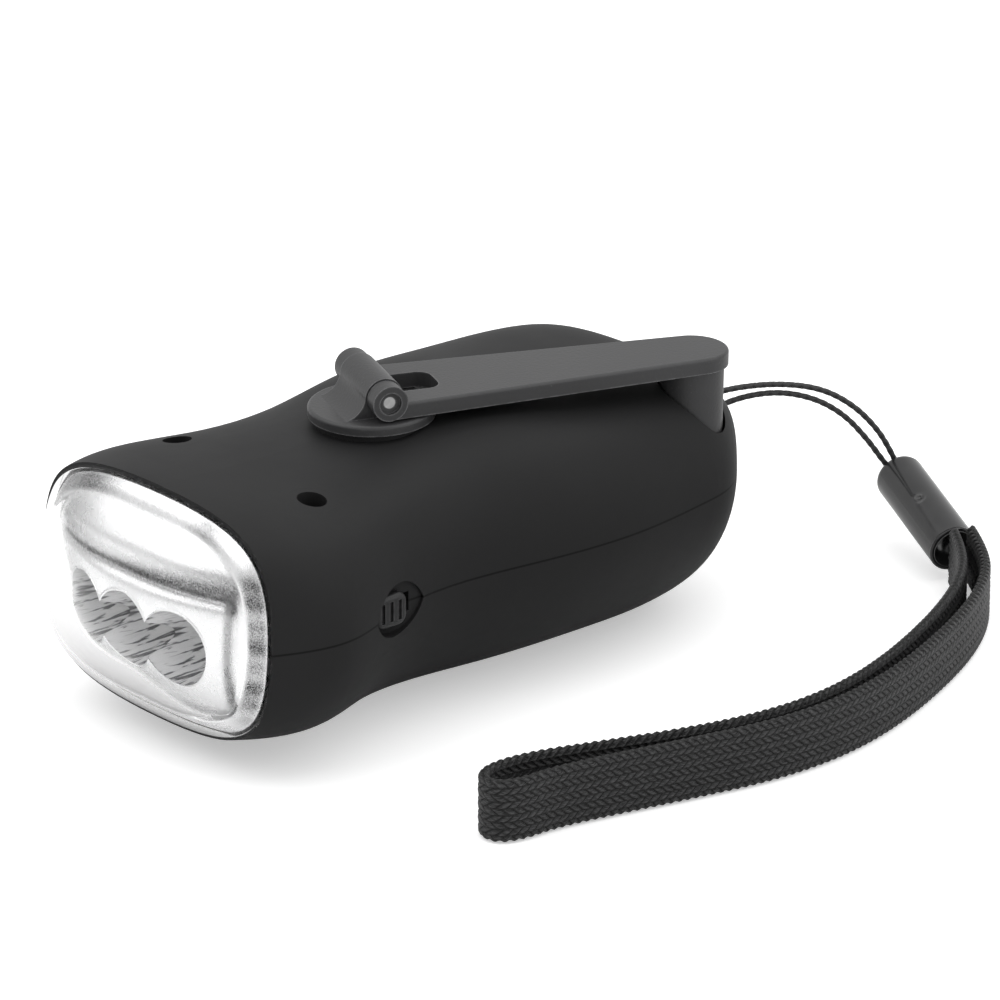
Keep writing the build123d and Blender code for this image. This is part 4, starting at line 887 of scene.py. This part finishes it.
def spline_points(name, route):
    """Points read from the NURBS spline whose control points are the route's, in mm."""
    curve = bpy.data.curves.new(name, "CURVE")
    curve.dimensions = "3D"
    curve.resolution_u = 24
    spline = curve.splines.new("NURBS")
    spline.points.add(len(route) - 1)
    flat = np.c_[np.array(route) * MM, np.ones(len(route))].ravel()
    spline.points.foreach_set("co", flat)
    spline.order_u = 3
    spline.use_endpoint_u = True
    holder = bpy.data.objects.new(name, curve)
    mesh = bpy.data.meshes.new_from_object(holder)
    points = np.empty(3 * len(mesh.vertices))
    mesh.vertices.foreach_get("co", points)
    bpy.data.objects.remove(holder)
    bpy.data.meshes.remove(mesh)
    return points.reshape(-1, 3) / MM


def resampled(points, step):
    """Points at even distances along a line, with the distance of each, in mm."""
    run = np.concatenate([[0], np.cumsum(np.linalg.norm(np.diff(points, axis=0), axis=1))])
    at = np.linspace(0, run[-1], int(run[-1] / step) + 1)
    return np.stack([np.interp(at, run, points[:, axis]) for axis in range(3)], axis=1), at


def directions(points):
    """Unit tangents of a line of points."""
    tangent = np.gradient(points, axis=0)
    return tangent / np.linalg.norm(tangent, axis=1, keepdims=True)


def carried_frame(tangent):
    """Two normals at each point, turned as little as possible from one point to the next."""
    first = np.cross(tangent[0], (0.2, 0.4, 1.0))
    first = first / np.linalg.norm(first)
    normals = [first]
    for line in tangent[1:]:
        turned_on = normals[-1] - line * np.dot(normals[-1], line)
        normals.append(turned_on / np.linalg.norm(turned_on))
    normal = np.array(normals)
    return normal, np.cross(tangent, normal)


# ---------------------------------------------------------------- string
STRING_LAY = 1.5  # length of cord that a strand takes to go round
string_line = spline_points("string_line", STRING_ROUTE)
points, at = resampled(string_line, 0.12)
normal, binormal = carried_frame(directions(points))
angle = np.linspace(0, 2 * pi, 24, endpoint=False)
turn = 2 * pi * at[:, None] / STRING_LAY
one_way = np.cos(2 * angle[None] + turn)
other_way = np.cos(2 * angle[None] - turn)
crest = np.maximum(one_way, other_way)
radius = STRING_WIDTH / 2 * (0.93 + 0.07 * crest)
outward = np.cos(angle)[None, :, None] * normal[:, None]
outward = outward + np.sin(angle)[None, :, None] * binormal[:, None]
skin = points[:, None] + radius[..., None] * outward
string = rings_piece("wrist_string", skin * MM, string_black, flip=True, slot="strap_black")
yarn = np.stack([angle[None] * 0.6 + turn * 0.3, angle[None] * 0.6 - turn * 0.3], axis=-1)
add_uv(string, "yarn", yarn)
# painted shade where the twisted strands dip
add_value(string, "hollow", smooth(0.35, -0.5, crest) * 0.7)
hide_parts("strap_string")

# ---------------------------------------------------------------- webbing
PLAIT_PITCH = 1.3  # along the webbing, from one plait to the next
PLAIT_COLUMNS = 9
PLAIT_SLANT = 0.8
PLAIT_RELIEF = 0.2
webbing_line = spline_points("webbing_line", [(x, y, WEBBING_WIDTH / 2) for x, y in WEBBING_ROUTE])
points, at = resampled(webbing_line, 0.27)
tangent = directions(points)
sideways = np.cross(tangent, (0, 0, 1))


def webbing_section():
    """Half-round edges and flat sides: (across the width, out of the side) per point."""
    flat = np.linspace(-1, 1, 40)
    half = WEBBING_WIDTH / 2 - WEBBING_THICKNESS / 2
    bend = np.linspace(-pi / 2, pi / 2, 9)[1:-1]
    across = np.concatenate([flat * half, half + 0.75 * np.cos(bend), -flat * half,
                             -half - 0.75 * np.cos(bend)])
    out = np.concatenate([0 * flat - 0.75, 0.75 * np.sin(bend), 0 * flat + 0.75,
                          -0.75 * np.sin(bend)])
    return across, out


across, out = webbing_section()
column = (across / WEBBING_WIDTH + 0.5) * PLAIT_COLUMNS
slant = np.where(np.floor(column) % 2 == 0, 1.0, -1.0)
local = column % 1 - 0.5
side = np.where(out < 0, 0.0, 0.5)
phase = at[:, None] / PLAIT_PITCH + slant * PLAIT_SLANT * local + side + 0.5 * (slant < 0)
plait = np.sin(pi * (phase % 1)) ** 0.7 * np.cos(pi * local) ** 0.45
scallop = 0.97 + 0.03 * np.cos(2 * pi * (at[:, None] / PLAIT_PITCH + side)) * (abs(across) > 3.6)
depth = out[None] * (1 + PLAIT_RELIEF * (plait - 0.75) / 0.75)
skin = points[:, None] + depth[..., None] * sideways[:, None]
skin = skin + (across[None] * scallop)[..., None] * np.array((0, 0, 1.0))
webbing = rings_piece("wrist_webbing", skin * MM, strap_black, flip=True)
counts = np.stack([at[:, None] / PLAIT_PITCH + side, column + 0 * phase], axis=-1)
add_uv(webbing, "braid", counts)
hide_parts("strap_webbing")


# ---------------------------------------------------------------- stage
floor_mesh = bpy.data.meshes.new("floor")
floor_mesh.from_pydata([(-4, -4, 0), (4, -4, 0), (4, 4, 0), (-4, 4, 0)], [], [(0, 1, 2, 3)])
floor = bpy.data.objects.new("floor", floor_mesh)
floor.location.z = -0.0001
bpy.context.scene.collection.objects.link(floor)
floor_white, tree, shader = new_material("floor_white", (0.86, 0.86, 0.86), 0.9)
shader.inputs["Specular IOR Level"].default_value = 0.0
light_path = node(tree, "ShaderNodeLightPath")
straight = math_node(tree, "MAXIMUM", light_path.outputs["Is Camera Ray"],
                     light_path.outputs["Is Transmission Ray"])
shown = math_node(tree, "MULTIPLY", straight, 0.4)
shader.inputs["Emission Color"].default_value = (1, 1, 1, 1)
tree.links.new(shown, shader.inputs["Emission Strength"])
floor_mesh.materials.append(floor_white)

world = bpy.data.worlds.new("studio")
bpy.context.scene.world = world
world.use_nodes = True
tree = world.node_tree
backdrop = tree.nodes["Background"]
light_path = node(tree, "ShaderNodeLightPath")
seen = math_node(tree, "MAXIMUM", light_path.outputs["Is Camera Ray"],
                 light_path.outputs["Is Glossy Ray"])
seen = math_node(tree, "MAXIMUM", seen, light_path.outputs["Is Transmission Ray"])
backdrop.inputs["Color"].default_value = (1, 1, 1, 1)
tree.links.new(ramp(tree, seen, 0.0, 1.0, 0.7, 1.0), backdrop.inputs["Strength"])


def softbox(name, place, target, width, height, watts):
    """A rectangular area lamp that faces a target."""
    lamp_data = bpy.data.lights.new(name, "AREA")
    lamp_data.shape = "RECTANGLE"
    lamp_data.size = width
    lamp_data.size_y = height
    lamp_data.energy = watts
    lamp = bpy.data.objects.new(name, lamp_data)
    lamp.location = place
    facing = Vector(target) - Vector(place)
    lamp.rotation_euler = facing.to_track_quat("-Z", "Y").to_euler()
    bpy.context.scene.collection.objects.link(lamp)
    return lamp


softbox("key_lamp", (-0.35, -0.55, 0.8), (0, 0, 0.02), 1.1, 0.9, 4.5)
softbox("top_lamp", (0.1, 0.25, 0.9), (0, 0, 0.02), 1.1, 1.1, 4.0)
softbox("side_lamp", (0.9, 0.35, 0.45), (0, 0, 0.02), 0.5, 0.9, 2.2)
